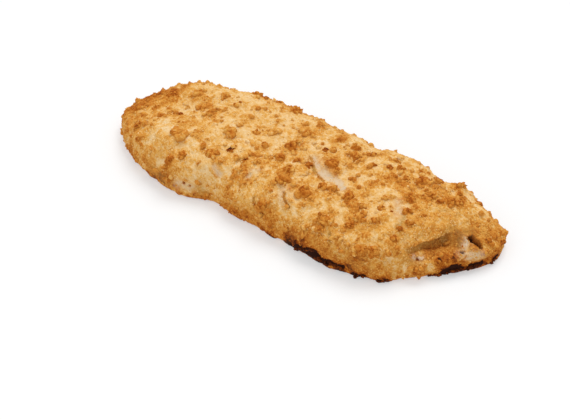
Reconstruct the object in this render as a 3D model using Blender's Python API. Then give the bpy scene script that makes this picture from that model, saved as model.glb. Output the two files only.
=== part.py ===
"""Breaded pollock fillet, oven baked: one solid piece of food.

The fillet lies flat, its length along X and its thickness along Z. The end at -X
is rounded and thin, with a raised back rim. The end at +X is cut on the slant:
a flap of crust hangs over a hollow, and a lip comes out under it.

The skin is worked out in columns. Each column starts at a foot on the spine and
runs outwards over the top, down the wall and under the edge. Crumbs of the
breading and flakes of the burnt skirt are fused on by one Boolean union.

Lengths are in millimetres, and MM turns them into metres.
"""

import math
import random

import bmesh
import bpy
import numpy as np
from mathutils import Matrix, Vector
from mathutils.bvhtree import BVHTree

MM = 0.001

# --- the whole fillet -------------------------------------------------------
THICKNESS = 20.0  # at the middle, without the crumbs
WIDEST_LEVEL = 4.6  # height of the outline's level
EDGE_INSET = 3.2  # how far the underside's edge lies inside the outline
CENTRE = (-1.223, 1.154)  # where the box's centre lies in the plan below
SPINE_HALF = 58.0  # the spine runs from -SPINE_HALF to +SPINE_HALF
SPINE_Y = 1.5
SHOULDER_ACROSS = 3.6  # powers of the section's superellipse
SHOULDER_UP = 2.3
SECTION_HALF_WIDTH = 32.0  # the section that spaces the rings
SECTION_SAMPLES = 2000
CURVE_STEPS = 40  # points between two knots of a plan curve

# Outline at its widest level, from the cut end's tip round by the back.
OUTLINE = (
    (88.5, 12.0), (85.0, 21.5), (74.0, 24.0), (64.5, 30.0), (54.5, 28.5), (42.0, 32.5),
    (30.0, 35.0), (20.0, 31.0), (8.0, 33.0), (-2.0, 32.5), (-13.0, 35.0), (-24.0, 34.0),
    (-36.0, 35.5), (-46.5, 32.5), (-57.5, 30.0), (-69.5, 29.5), (-82.5, 20.0), (-88.0, 8.0),
    (-90.5, -3.0), (-84.5, -13.0), (-68.5, -25.0), (-43.0, -31.5), (-26.0, -27.5), (-12.0, -29.5),
    (4.0, -30.5), (18.0, -31.5), (34.0, -33.5), (55.0, -29.0), (64.0, -21.0), (76.5, -10.0),
    (85.5, 1.5),
)

# --- how the top falls and swells: drops in height, each between two places --
THIN_END_DROP, THIN_END_X = 5.0, (-50.0, -90.0)
CUT_END_DROP, CUT_END_X = 1.2, (48.0, 68.0)
LIP_DROP, LIP_PAST_FLAP = 6.5, (-14.0, 6.0)
FLAP_LINE_AT, FLAP_LINE_FACES = (64.5, -23.0), (0.938, -0.347)
# Height, middle, radii and turn of the bowl, the front cheek and the back rim.
BOWL = (-2.6, (-66.0, 2.0), (17.0, 11.0), 0.0)
CHEEK = (0.9, (-56.0, -17.0), (10.0, 7.0), -20.0)
RIM = (1.1, (-77.0, 5.0), (5.0, 17.0), -21.0)

# --- the cut end ------------------------------------------------------------
FLAP_EDGE = (
    (61.5, -22.5), (64.0, -15.0), (66.4, -9.5), (69.2, -2.5), (72.4, 3.5), (76.5, 11.5),
    (80.0, 21.0),
)
FLAP_HEIGHT = 14.5  # least height of the flap's upper face at its edge
HOLLOW_DEPTH = 2.2  # how far the hollow reaches in under the flap
LIP_LEAST = 1.6  # least stretch of lip beyond the flap
FLAP_TOP_BEHIND = 2.0  # how far behind its edge the flap's height is taken
FOLD_FROM, FOLD_FULL = -90.0, -70.0  # degrees round the cap where the fold starts
FOLD_FADES, FOLD_ENDS = -4.0, 10.0
# The fold's end slants: so many degrees over all the rings, nought at this share of them.
FOLD_SLANT, FOLD_SLANT_FROM = 70.0, 0.47
HOLLOW_FROM, HOLLOW_FULL = -84.0, -64.0
HOLLOW_FADES, HOLLOW_ENDS = -22.0, 4.0
# The cut's section from the spine outwards. A knot's place is a share of the flap's
# reach, of the hollow's depth and of the lip's stretch, and millimetres. Its height is
# a share of the crown, the flap's top, the outline's level and the lip's stretch, and mm.
CUT_SECTION = (
    ((0.0, 0.0, 0.0, 0.0), (1.0, 0.0, 0.0, 0.0, 0.0)),
    ((0.55, 0.0, 0.0, 0.0), (0.5, 0.5, 0.0, 0.0, 0.3)),
    ((1.0, 0.0, 0.0, -2.4), (0.0, 1.0, 0.0, 0.0, -0.5)),
    ((1.0, 0.0, 0.0, 0.0), (0.0, 1.0, 0.0, 0.0, -2.4)),
    ((1.0, -0.6, 0.0, 0.0), (0.0, 1.0, 0.0, 0.0, -3.6)),
    ((1.0, -1.0, 0.0, 0.0), (0.0, 1.0, 0.0, -0.12, -4.0)),
    ((1.0, -0.5, 0.05, 0.0), (0.0, 1.0, 0.0, -0.3, -4.7)),
    ((1.0, 0.0, 0.25, 0.0), (0.0, 1.0, 0.0, -0.3, -4.3)),
    ((1.0, 0.0, 0.6, 0.0), (0.0, 0.55, 0.45, -0.15, -1.8)),
    ((1.0, 0.0, 0.9, -0.4), (0.0, 0.0, 1.0, 0.0, 2.6)),
    ((1.0, 0.0, 1.0, 0.0), (0.0, 0.0, 1.0, 0.0, 0.0)),
    ((1.0, 0.0, 0.9, -0.4), (0.0, 0.0, 1.0, 0.0, -3.0)),
)
# How far along the rings each knot but the last lies.
CUT_KNOT_SHARES = (0.0, 0.19, 0.368, 0.47, 0.517, 0.563, 0.65, 0.733, 0.813, 0.927, 1.0)
HOLE_AT = (79.8, 5.2, 11.4)  # the dark hole in the lip
HOLE_RADII = (3.3, 1.3, 2.6)
HOLE_TURN = -6.0
KNOB_AT = (80.8, 2.2, 9.7)  # the round lump in front of the hole
KNOB_RADII = (2.2, 1.8, 1.8)
KNOB_TURN = 10.0

# --- the grid ---------------------------------------------------------------
SIDE_COLUMNS = 22
THIN_END_COLUMNS = 20
CUT_END_COLUMNS = 36  # more of them, for the flap and the hollow
UPPER_RINGS = 20
EDGE_RINGS = 3
RING_CROWDING = 0.72  # under 1 crowds the rings towards the wall

# --- lumps of the crust: size of the noise's cells, height and seed ----------
SWELLS = (21.0, 0.8, 1)
LUMPS = (7.5, 0.75, 2)
RELIEF_FADES_BELOW = 4.0  # the relief dies out between here and the underside

# --- the crumbs: plan place, size along the slanted line and across it ------
CRUMB_TURN = 35.0  # degrees from X to the line that the first size lies along
LARGE_CRUMBS = (
    (-62, 11, 4.3, 4.5), (-54, 6, 5.5, 4.5), (-50, 15, 2.7, 5.5), (-21, 26, 4.0, 3.0),
    (-41, 27, 4.8, 2.2), (-50, -17, 7.0, 6.0), (-33, -4, 4.8, 5.0), (-43, -24, 3.2, 3.0),
    (-47, -28, 4.3, 2.4), (-32, -18, 6.0, 3.0), (-6, 2, 4.0, 4.0), (-6, 7, 3.2, 3.0),
    (-6, -6, 2.7, 5.5), (1, -11, 4.3, 4.0), (6, -3, 2.7, 3.0), (3, -16, 6.0, 4.5),
    (13, -18, 5.5, 6.0), (-7, 13, 4.3, 4.0), (-18, 7, 7.0, 3.0), (-81, -5, 3.2, 3.0),
    (0, -28.5, 4.3, 4.0), (-6, 23, 3.0, 3.0), (13, 2, 6.0, 6.0), (18, 13, 4.3, 4.5),
    (23, 18, 3.8, 2.4), (15, 18, 4.3, 2.0), (34, 14, 3.8, 2.4), (49, 14, 6.0, 4.5),
    (54, 19, 3.8, 4.0), (57, 9, 3.2, 2.6), (61, 8, 3.2, 2.6), (64, 11, 4.3, 4.0),
    (51, 2, 2.7, 6.0), (54, -5, 3.8, 2.4), (30, -11, 3.2, 6.0), (18, -11, 3.8, 4.0),
    (58, -13, 4.8, 2.4), (52, -27, 4.3, 3.0), (37, -29, 4.8, 3.0), (41, -18, 4.8, 4.5),
    (62, 23, 3.8, 3.0), (47, -29.5, 4.3, 3.0),
)
LARGE_CRUMB_HEIGHT = 2.6
LARGE_CRUMB_TURNS = 12.0  # how far a large crumb may turn from that line
SMALL_CRUMBS = 40
SMALL_CRUMB_SIZE = (2.2, 3.6)
SMALL_CRUMB_HEIGHT = 1.9
SMALL_CRUMB_X, SMALL_CRUMB_Y = (-86.0, 74.0), (-29.0, 32.0)
SMALL_CRUMB_LEVEL = 6.0  # small crumbs lie above this level
SMALL_CRUMB_UPRIGHT = 0.45  # and where the skin's normal rises at least this much
CRUMB_SPACING = 5.5  # least distance between the middles of two crumbs
CRUMB_STANDS = 0.12  # share of its height that a crumb's middle stands above the skin
CRUMB_JITTER = 0.16  # how far a corner moves, as a share of the crumb's size
SEED = 7

# --- the burnt skirt: column places round the outline, in plan X ------------
FRONT_FLAKES = ((21.0, 9.0), (30.5, 6.0), (40.0, 7.0), (52.0, 6.0), (57.5, 4.0))
END_FLAKES = ((-47.0, 5.0), (-33.0, 7.0), (-16.0, 6.0), (-2.0, 4.0))
FLAKE_THICKNESS = 1.5
FLAKE_REACH = 4.2
FLAKE_INSIDE = 0.45  # how far the middle lies inside the rim, as a share of the reach
FLAKE_LEVEL = 1.7

CRUST_COLOR = (0.62, 0.31, 0.08, 1.0)
CRUST_ROUGHNESS = 0.75
SHARP_EDGE = 50.0  # degrees
SMALLEST = 1e-6
NEARLY_PARALLEL = 1e-12  # least cross product of a heading and a line, against a nought
UPWARD = Vector((0.0, 0.0, 1.0))


def ease(start, end, value):
    """0 at start, 1 at end, with level ends."""
    share = np.clip((value - start) / (end - start), 0.0, 1.0)
    return share * share * (3.0 - 2.0 * share)


def hill(x, y, height, at, radii, turn):
    """A smooth hill, or a hollow where its height is negative, at a plan place."""
    cos, sin = math.cos(math.radians(turn)), math.sin(math.radians(turn))
    along = (x - at[0]) * cos + (y - at[1]) * sin
    across = (y - at[1]) * cos - (x - at[0]) * sin
    return height * np.exp(-((along / radii[0]) ** 2) - (across / radii[1]) ** 2)


def smooth_line(points, closed):
    """A Catmull-Rom curve through plan points, as an array of points."""
    line = np.asarray(points, float)
    if closed:
        padded = np.vstack([line[-1:], line, line[:2]])
    else:
        padded = np.vstack([2 * line[:1] - line[1:2], line, 2 * line[-1:] - line[-2:-1]])
    spans = len(padded) - 3
    before, start, end, after = (padded[i : i + spans][:, None] for i in range(4))
    share = np.arange(CURVE_STEPS)[None, :, None] / CURVE_STEPS
    curve = catmull_rom(before, start, end, after, share).reshape(-1, 2)
    return curve if closed else np.vstack([curve, line[-1:]])


def catmull_rom(before, start, end, after, share):
    """The cubic from start to end whose ends head along the neighbouring chords."""
    return 0.5 * (
        2 * start
        + (end - before) * share
        + (2 * before - 5 * start + 4 * end - after) * share**2
        + (3 * start - before - 3 * end + after) * share**3
    )


def spine_columns():
    """Feet and headings of the columns: back side, round end, front side, cut end."""
    along = np.linspace(SPINE_HALF, -SPINE_HALF, SIDE_COLUMNS, endpoint=False)
    around = np.linspace(0.0, math.pi, THIN_END_COLUMNS, endpoint=False)
    around_cut = np.linspace(0.0, math.pi, CUT_END_COLUMNS, endpoint=False)
    quarter = math.pi / 2
    feet = [along, 0 * around - SPINE_HALF, -along, 0 * around_cut + SPINE_HALF]
    headings = [0 * along + quarter, around + quarter, 0 * along - quarter, around_cut - quarter]
    return np.concatenate(feet), np.concatenate(headings)


def reach_to(line, foot, heading):
    """Distance from each foot, along its heading, to a plan line; -1 where it misses."""
    start, step = line[:-1], np.diff(line, axis=0)
    dx, dy = np.cos(heading)[:, None], np.sin(heading)[:, None]
    ax = start[None, :, 0] - foot[:, None]
    ay = start[None, :, 1] - SPINE_Y
    ex, ey = step[None, :, 0], step[None, :, 1]
    cross = dy * ex - dx * ey
    cross = np.where(np.abs(cross) < NEARLY_PARALLEL, NEARLY_PARALLEL, cross)
    distance = (ay * ex - ax * ey) / cross
    share = (dx * ay - dy * ax) / cross
    met = (share >= 0) & (share <= 1) & (distance > 0)
    return np.where(met, distance, -1.0).max(axis=1)


def crown(x, y):
    """Height of the crust's top over each plan place, before it rounds to the wall."""
    away = (x - FLAP_LINE_AT[0]) * FLAP_LINE_FACES[0] + (y - FLAP_LINE_AT[1]) * FLAP_LINE_FACES[1]
    top = THICKNESS - THIN_END_DROP * ease(*THIN_END_X, x)
    top = top - CUT_END_DROP * ease(*CUT_END_X, x) - LIP_DROP * ease(*LIP_PAST_FLAP, away)
    return top + hill(x, y, *BOWL) + hill(x, y, *CHEEK) + hill(x, y, *RIM)


def ring_shares():
    """How far along the section each ring lies, crowded towards the wall."""
    return (np.arange(UPPER_RINGS + 1) / UPPER_RINGS) ** RING_CROWDING


def section():
    """The superellipse quarter as shares of reach and of rise, one pair a ring."""
    angle = np.linspace(0.0, math.pi / 2, SECTION_SAMPLES)
    out = np.sin(angle) ** (2 / SHOULDER_ACROSS)
    up = np.cos(angle) ** (2 / SHOULDER_UP)
    rise = THICKNESS - WIDEST_LEVEL
    step = np.hypot(np.diff(out) * SECTION_HALF_WIDTH, np.diff(up) * rise)
    length = np.concatenate([[0.0], np.cumsum(step)])
    at = ring_shares() * length[-1]
    return np.interp(at, length, out), np.interp(at, length, up)


def cut_section(reach, flap, top, flap_top, depth):
    """The cut end's section: over the flap, in under it, and out along the lip."""
    out, up = (np.array(column).T for column in zip(*CUT_SECTION))
    one = np.ones_like(reach)
    away = np.stack([flap, depth, reach - flap, one], -1) @ out
    height = np.stack([top, flap_top, WIDEST_LEVEL * one, reach - flap, one], -1) @ up
    knots = np.stack([away, height], -1)
    knots = np.concatenate([2 * knots[:, :1] - knots[:, 1:2], knots], axis=1)
    at = np.interp(ring_shares(), CUT_KNOT_SHARES, np.arange(len(CUT_KNOT_SHARES)))
    span = np.minimum(at.astype(int), len(CUT_KNOT_SHARES) - 2)
    before, start, end, after = (knots[:, span + step] for step in range(4))
    return catmull_rom(before, start, end, after, (at - span)[:, None])


def skin_points():
    """The bare crust: an array of columns by rings by (x, y, z), in the plan's frame."""
    foot, heading = spine_columns()
    dx, dy = np.cos(heading)[:, None], np.sin(heading)[:, None]
    outline = smooth_line(OUTLINE, closed=True)
    reach = reach_to(np.vstack([outline, outline[:1]]), foot, heading)
    out, up = section()
    away = reach[:, None] * out
    top = crown(foot[:, None] + dx * away, SPINE_Y + dy * away)
    height = WIDEST_LEVEL + up * (top - WIDEST_LEVEL)

    degrees = np.degrees(heading)
    at_cut = foot > SPINE_HALF - SMALLEST
    slanted = degrees[:, None] + FOLD_SLANT * (ring_shares() - FOLD_SLANT_FROM)
    folded = ease(FOLD_FROM, FOLD_FULL, degrees)[:, None] * ease(FOLD_ENDS, FOLD_FADES, slanted)
    folded = np.where(at_cut[:, None], folded, 0.0)
    flap = reach_to(smooth_line(FLAP_EDGE, closed=False), foot, heading)
    flap = np.where(at_cut & (flap > 0), np.minimum(flap, reach - LIP_LEAST), reach - LIP_LEAST)
    depth = HOLLOW_DEPTH * ease(HOLLOW_FROM, HOLLOW_FULL, degrees)
    depth = depth * ease(HOLLOW_ENDS, HOLLOW_FADES, degrees)
    back = flap - FLAP_TOP_BEHIND
    flap_top = crown(foot + np.cos(heading) * back, SPINE_Y + np.sin(heading) * back)
    flap_top = np.maximum(flap_top, FLAP_HEIGHT)
    folds = cut_section(reach, flap, crown(foot, 0 * foot + SPINE_Y), flap_top, depth)
    away = away * (1 - folded) + folds[..., 0] * folded
    height = height * (1 - folded) + folds[..., 1] * folded

    turn = np.arange(1, EDGE_RINGS + 1) / EDGE_RINGS * math.pi / 2
    edge = reach[:, None] - EDGE_INSET * (1 - np.cos(turn))
    edge_height = np.broadcast_to(WIDEST_LEVEL * (1 - np.sin(turn)), edge.shape)
    away = np.concatenate([away, edge], axis=1)
    height = np.concatenate([height, edge_height], axis=1)
    return np.stack([foot[:, None] + dx * away, SPINE_Y + dy * away, height], -1)


def skin_normals(points):
    """Outward unit normals from the steps to the next column and the next ring."""
    across = np.roll(points, -1, axis=0) - np.roll(points, 1, axis=0)
    down = np.gradient(points, axis=1)
    normal = np.cross(down, across)
    size = np.linalg.norm(normal, axis=2, keepdims=True)
    upright = np.broadcast_to((0.0, 0.0, 1.0), normal.shape)
    return np.where(size > SMALLEST, normal / np.maximum(size, SMALLEST), upright)


def lattice_value(cell, seed):
    """A number from 0 to 1 for each whole-number cell, mixed from its three indices."""
    x, y, z = (cell[..., axis].astype(np.int64) for axis in range(3))
    mixed = (x * 374761393 + y * 668265263 + z * 2147483647 + seed * 1274126177) & 0xFFFFFFFF
    mixed = ((mixed ^ (mixed >> 13)) * 1274126177) & 0xFFFFFFFF
    mixed = ((mixed ^ (mixed >> 16)) * 2246822519) & 0xFFFFFFFF
    return ((mixed ^ (mixed >> 15)) & 0xFFFFFF) / float(0xFFFFFF)


def value_noise(points, cell, height, seed):
    """Smooth noise from -height to height: lattice values blended over each cell."""
    place = points / cell
    corner = np.floor(place)
    part = place - corner
    part = part**3 * (part * (part * 6 - 15) + 10)
    total = 0.0
    for step in np.ndindex(2, 2, 2):
        share = np.where(step, part, 1 - part).prod(axis=-1)
        total = total + share * lattice_value(corner + step, seed)
    return height * (2 * total - 1)


def lumpy(points):
    """The skin with the crust's swells and lumps, which fade out at the underside."""
    rise = value_noise(points, *SWELLS) + value_noise(points, *LUMPS)
    rise = rise * ease(0.0, RELIEF_FADES_BELOW, points[..., 2])
    moved = points + skin_normals(points) * rise[..., None]
    moved[:, 0] = points[:, 0]
    moved[:, 0, 2] += rise[:, 0]
    return moved


def to_frame(points):
    """Plan millimetres to metres about the box's centre."""
    shift = np.array([CENTRE[0], CENTRE[1], 0.0])
    return (np.asarray(points, float) - shift) * MM


def body_mesh(points):
    """The skin as a closed bmesh: quads between rings, and one flat underside."""
    bm = bmesh.new()
    columns, rings = points.shape[:2]
    verts = [[bm.verts.new(corner) for corner in column] for column in to_frame(points)]
    for i in range(columns):
        following = verts[(i + 1) % columns]
        for j in range(rings - 1):
            bm.faces.new((verts[i][j], verts[i][j + 1], following[j + 1], following[j]))
    bm.faces.new([verts[i][rings - 1] for i in range(columns - 1, -1, -1)])
    bmesh.ops.remove_doubles(bm, verts=[column[0] for column in verts], dist=SMALLEST)
    bmesh.ops.triangulate(bm, faces=bm.faces)
    bmesh.ops.recalc_face_normals(bm, faces=bm.faces)
    return bm


def crust_material():
    material = bpy.data.materials.new("crust")
    material.use_nodes = True
    shader = material.node_tree.nodes["Principled BSDF"]
    shader.inputs["Base Color"].default_value = CRUST_COLOR
    shader.inputs["Roughness"].default_value = CRUST_ROUGHNESS
    shader.inputs["Metallic"].default_value = 0.0
    return material


def new_object(name, bm, collection):
    mesh = bpy.data.meshes.new(name)
    bm.to_mesh(mesh)
    bm.free()
    obj = bpy.data.objects.new(name, mesh)
    collection.objects.link(obj)
    return obj


def lump_object(name, place, normal, radii, turn, draw, detail, collection):
    """An angular lump: an icosphere with moved corners, stretched and laid on the skin."""
    bm = bmesh.new()
    bmesh.ops.create_icosphere(bm, subdivisions=detail, radius=1.0)
    for vert in bm.verts:
        vert.co *= 1.0 + draw.uniform(-CRUMB_JITTER, CRUMB_JITTER)
    size = Matrix.Diagonal((*(radius * MM for radius in radii), 1.0))
    upright = UPWARD.rotation_difference(normal).to_matrix().to_4x4()
    spin = Matrix.Rotation(math.radians(turn), 4, "Z")
    bm.transform(Matrix.Translation(place) @ upright @ spin @ size)
    return new_object(name, bm, collection)


def skin_below(tree, x, y):
    """The skin's highest point over a plan place, and its normal."""
    over = Vector(((x - CENTRE[0]) * MM, (y - CENTRE[1]) * MM, 2 * THICKNESS * MM))
    place, normal, _, _ = tree.ray_cast(over, -UPWARD)
    return place, normal


def lay_crumb(name, tree, x, y, sizes, turn, draw, detail, collection):
    """One crumb of the given length, width and height, laid on the skin."""
    place, normal = skin_below(tree, x, y)
    radii = [size / 2 for size in sizes]
    centre = place + normal * (CRUMB_STANDS * sizes[2] * MM)
    lump_object(name, centre, normal, radii, turn, draw, detail, collection)


def spread_places(tree, draw):
    """Seeded plan places on the crust, kept apart from the large crumbs and each other."""
    taken = [(crumb[0], crumb[1]) for crumb in LARGE_CRUMBS]
    found = []
    while len(found) < SMALL_CRUMBS:
        x, y = draw.uniform(*SMALL_CRUMB_X), draw.uniform(*SMALL_CRUMB_Y)
        place, normal = skin_below(tree, x, y)
        if place is None or normal.z < SMALL_CRUMB_UPRIGHT or place.z < SMALL_CRUMB_LEVEL * MM:
            continue
        if min(math.hypot(x - a, y - b) for a, b in taken) < CRUMB_SPACING:
            continue
        taken.append((x, y))
        found.append((x, y))
    return found


def lay_crumbs(tree, collection):
    draw = random.Random(SEED)
    for i, (x, y, long, wide) in enumerate(LARGE_CRUMBS):
        turn = CRUMB_TURN + draw.uniform(-LARGE_CRUMB_TURNS, LARGE_CRUMB_TURNS)
        sizes = (long, wide, LARGE_CRUMB_HEIGHT)
        lay_crumb(f"large_{i}", tree, x, y, sizes, turn, draw, 2, collection)
    for i, (x, y) in enumerate(spread_places(tree, draw)):
        sizes = (draw.uniform(*SMALL_CRUMB_SIZE), draw.uniform(*SMALL_CRUMB_SIZE), SMALL_CRUMB_HEIGHT)
        turn = draw.uniform(0, 180)
        lay_crumb(f"small_{i}", tree, x, y, sizes, turn, draw, 1, collection)


def lay_flakes(points, collection):
    """The burnt skirt's flakes: flat lumps along the foot of the front and of the cut."""
    draw = random.Random(SEED + 1)
    foot, heading = spine_columns()
    front = np.nonzero(heading == -math.pi / 2)[0]
    cut = np.nonzero(foot > SPINE_HALF - SMALLEST)[0]
    degrees = np.degrees(heading[cut])
    columns = [front[np.argmin(np.abs(foot[front] - x))] for x, _ in FRONT_FLAKES]
    columns += [cut[np.argmin(np.abs(degrees - at))] for at, _ in END_FLAKES]
    rim = points[:, UPPER_RINGS]
    for i, (column, (_, size)) in enumerate(zip(columns, FRONT_FLAKES + END_FLAKES)):
        ahead = rim[(column + 1) % len(rim)] - rim[column - 1]
        along = math.atan2(ahead[1], ahead[0])
        inward = np.array([-math.sin(along), math.cos(along)])
        middle = rim[column, :2] + inward * FLAKE_REACH * FLAKE_INSIDE
        place = Vector(to_frame((*middle, FLAKE_LEVEL)))
        radii = (size / 2, FLAKE_REACH / 2, FLAKE_THICKNESS / 2)
        turn = math.degrees(along)
        lump_object(f"flake_{i}", place, UPWARD, radii, turn, draw, 2, collection)


def boolean(obj, operation, target):
    """Apply a Boolean with an object or a whole collection to obj's mesh."""
    modifier = obj.modifiers.new(operation.lower(), "BOOLEAN")
    modifier.operation = operation
    if isinstance(target, bpy.types.Collection):
        modifier.operand_type = "COLLECTION"
        modifier.collection = target
    else:
        modifier.object = target
    modifier.solver = "EXACT"
    graph = bpy.context.evaluated_depsgraph_get()
    result = bpy.data.meshes.new_from_object(obj.evaluated_get(graph))
    obj.modifiers.remove(modifier)
    old = obj.data
    obj.data = result
    bpy.data.meshes.remove(old)


def remove_collection(collection):
    for obj in list(collection.objects):
        bpy.data.objects.remove(obj, do_unlink=True)
    bpy.data.collections.remove(collection)


def cut_hole(fillet, collection):
    """The dark hole in the lip, cut with a thin upright lump."""
    draw = random.Random(SEED + 2)
    place = Vector(to_frame(HOLE_AT))
    cutter = lump_object("hole", place, UPWARD, HOLE_RADII, HOLE_TURN, draw, 2, collection)
    boolean(fillet, "DIFFERENCE", cutter)
    bpy.data.objects.remove(cutter, do_unlink=True)


def build():
    for obj in list(bpy.data.objects):
        bpy.data.objects.remove(obj, do_unlink=True)
    scene = bpy.context.scene.collection
    points = lumpy(skin_points())
    bm = body_mesh(points)
    tree = BVHTree.FromBMesh(bm)
    fillet = new_object("fillet", bm, scene)
    cut_hole(fillet, scene)
    breading = bpy.data.collections.new("breading")
    scene.children.link(breading)
    lay_crumbs(tree, breading)
    lay_flakes(points, breading)
    knob, draw = Vector(to_frame(KNOB_AT)), random.Random(SEED + 3)
    lump_object("knob", knob, UPWARD, KNOB_RADII, KNOB_TURN, draw, 2, breading)
    boolean(fillet, "UNION", breading)
    remove_collection(breading)
    fillet.data.materials.clear()
    fillet.data.materials.append(crust_material())
    fillet.data.shade_smooth()
    fillet.data.set_sharp_from_angle(angle=math.radians(SHARP_EDGE))


build()
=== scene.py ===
"""Breaded pollock fillet, oven baked: its looks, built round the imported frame.

The crust is one closed surface worked out in columns and rings, as the part's solid is.
The breading's relief is laid on it, and crumbs and burnt flakes are set into it.
Lengths are millimetres in the plan's frame, and MM and CENTRE turn them into metres.
Toasting runs from 0, cream, to 1, charred.
"""

import math
from typing import NamedTuple

import bpy
import numpy as np
from mathutils import Matrix

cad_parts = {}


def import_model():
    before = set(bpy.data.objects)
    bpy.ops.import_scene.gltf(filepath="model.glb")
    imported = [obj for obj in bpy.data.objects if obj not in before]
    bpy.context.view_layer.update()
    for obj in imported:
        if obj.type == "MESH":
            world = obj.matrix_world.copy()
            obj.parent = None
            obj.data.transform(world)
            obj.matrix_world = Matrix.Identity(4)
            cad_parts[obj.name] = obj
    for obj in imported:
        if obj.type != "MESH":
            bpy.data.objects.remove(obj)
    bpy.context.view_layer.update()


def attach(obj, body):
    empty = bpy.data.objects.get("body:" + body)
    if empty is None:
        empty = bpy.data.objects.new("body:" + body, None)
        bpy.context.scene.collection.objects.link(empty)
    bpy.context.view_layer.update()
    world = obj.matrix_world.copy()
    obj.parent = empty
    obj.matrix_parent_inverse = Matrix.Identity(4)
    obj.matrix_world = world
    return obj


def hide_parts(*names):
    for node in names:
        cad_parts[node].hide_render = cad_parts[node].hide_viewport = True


MM = 0.001
SMALLEST = 1e-6  # as good as nought
NEARLY_PARALLEL = 1e-12  # least cross product of a heading and a line, against a nought

# --- the whole fillet, as in the part's solid --------------------------------
THICKNESS = 20.0  # at the middle, without the crumbs
WIDEST_LEVEL = 4.6  # height of the outline's level
EDGE_INSET = 3.2  # how far the underside's edge lies inside the outline
CENTRE = (-1.223, 1.154)  # where the box's centre lies in the plan below
SPINE_HALF = 58.0  # the spine runs from -SPINE_HALF to +SPINE_HALF
SPINE_Y = 1.5
SHOULDER_ACROSS = 3.6  # powers of the section's superellipse
SHOULDER_UP = 2.3
SECTION_HALF_WIDTH = 32.0  # the section that spaces the rings
SECTION_SAMPLES = 4000
CURVE_STEPS = 40  # points between two knots of a plan curve
# Outline at its widest level, from the cut end's tip round by the back.
OUTLINE = (
    (88.5, 12.0), (85.0, 21.5), (74.0, 24.0), (64.5, 30.0), (54.5, 28.5), (42.0, 32.5),
    (30.0, 35.0), (20.0, 31.0), (8.0, 33.0), (-2.0, 32.5), (-13.0, 35.0), (-24.0, 34.0),
    (-36.0, 35.5), (-46.5, 32.5), (-57.5, 30.0), (-69.5, 29.5), (-82.5, 20.0), (-88.0, 8.0),
    (-90.5, -3.0), (-84.5, -13.0), (-68.5, -25.0), (-43.0, -31.5), (-26.0, -27.5), (-12.0, -29.5),
    (4.0, -30.5), (18.0, -31.5), (34.0, -33.5), (55.0, -29.0), (64.0, -21.0), (76.5, -10.0),
    (85.5, 1.5),
)

# How the top falls and swells: drops in height, each between two places.
THIN_END_DROP, THIN_END_X = 5.0, (-50.0, -90.0)
CUT_END_DROP, CUT_END_X = 1.2, (48.0, 68.0)
LIP_DROP, LIP_PAST_FLAP = 6.5, (-14.0, 6.0)
FLAP_LINE_AT, FLAP_LINE_FACES = (64.5, -23.0), (0.938, -0.347)
# Height, middle, radii and turn of the bowl, the front cheek and the back rim.
BOWL = (-2.6, (-66.0, 2.0), (17.0, 11.0), 0.0)
CHEEK = (0.9, (-56.0, -17.0), (10.0, 7.0), -20.0)
RIM = (1.1, (-77.0, 5.0), (5.0, 17.0), -21.0)

# --- the cut end ------------------------------------------------------------
FLAP_EDGE = (
    (61.5, -22.5), (64.0, -15.0), (66.4, -9.5), (69.2, -2.5), (72.4, 3.5), (76.5, 11.5),
    (80.0, 21.0),
)
FLAP_HEIGHT = 14.5  # least height of the flap's upper face at its edge
HOLLOW_DEPTH = 2.2  # how far the hollow reaches in under the flap
LIP_LEAST = 1.6  # least stretch of lip beyond the flap
FLAP_TOP_BEHIND = 2.0  # how far behind its edge the flap's height is taken
FOLD_FROM, FOLD_FULL = -90.0, -70.0  # degrees round the cap where the fold starts
FOLD_FADES, FOLD_ENDS = -4.0, 10.0
# The fold's end slants: so many degrees over all the rings, nought at this share of them.
FOLD_SLANT, FOLD_SLANT_FROM = 70.0, 0.47
HOLLOW_FROM, HOLLOW_FULL = -84.0, -64.0
HOLLOW_FADES, HOLLOW_ENDS = -22.0, 4.0
# The cut's section from the spine outwards. A knot's place is a share of the flap's
# reach, of the hollow's depth and of the lip's stretch, and millimetres. Its height is
# a share of the crown, the flap's top, the outline's level and the lip's stretch, and mm.
CUT_SECTION = (
    ((0.0, 0.0, 0.0, 0.0), (1.0, 0.0, 0.0, 0.0, 0.0)),
    ((0.55, 0.0, 0.0, 0.0), (0.5, 0.5, 0.0, 0.0, 0.3)),
    ((1.0, 0.0, 0.0, -2.4), (0.0, 1.0, 0.0, 0.0, -0.5)),
    ((1.0, 0.0, 0.0, 0.0), (0.0, 1.0, 0.0, 0.0, -2.4)),
    ((1.0, -0.6, 0.0, 0.0), (0.0, 1.0, 0.0, 0.0, -3.6)),
    ((1.0, -1.0, 0.0, 0.0), (0.0, 1.0, 0.0, -0.12, -4.0)),
    ((1.0, -0.5, 0.05, 0.0), (0.0, 1.0, 0.0, -0.3, -4.7)),
    ((1.0, 0.0, 0.25, 0.0), (0.0, 1.0, 0.0, -0.3, -4.3)),
    ((1.0, 0.0, 0.6, 0.0), (0.0, 0.55, 0.45, -0.15, -1.8)),
    ((1.0, 0.0, 0.9, -0.4), (0.0, 0.0, 1.0, 0.0, 2.6)),
    ((1.0, 0.0, 1.0, 0.0), (0.0, 0.0, 1.0, 0.0, 0.0)),
    ((1.0, 0.0, 0.9, -0.4), (0.0, 0.0, 1.0, 0.0, -3.0)),
)
# How far along the rings each knot but the last lies.
CUT_KNOT_SHARES = (0.0, 0.19, 0.368, 0.47, 0.517, 0.563, 0.65, 0.733, 0.813, 0.927, 1.0)

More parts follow.
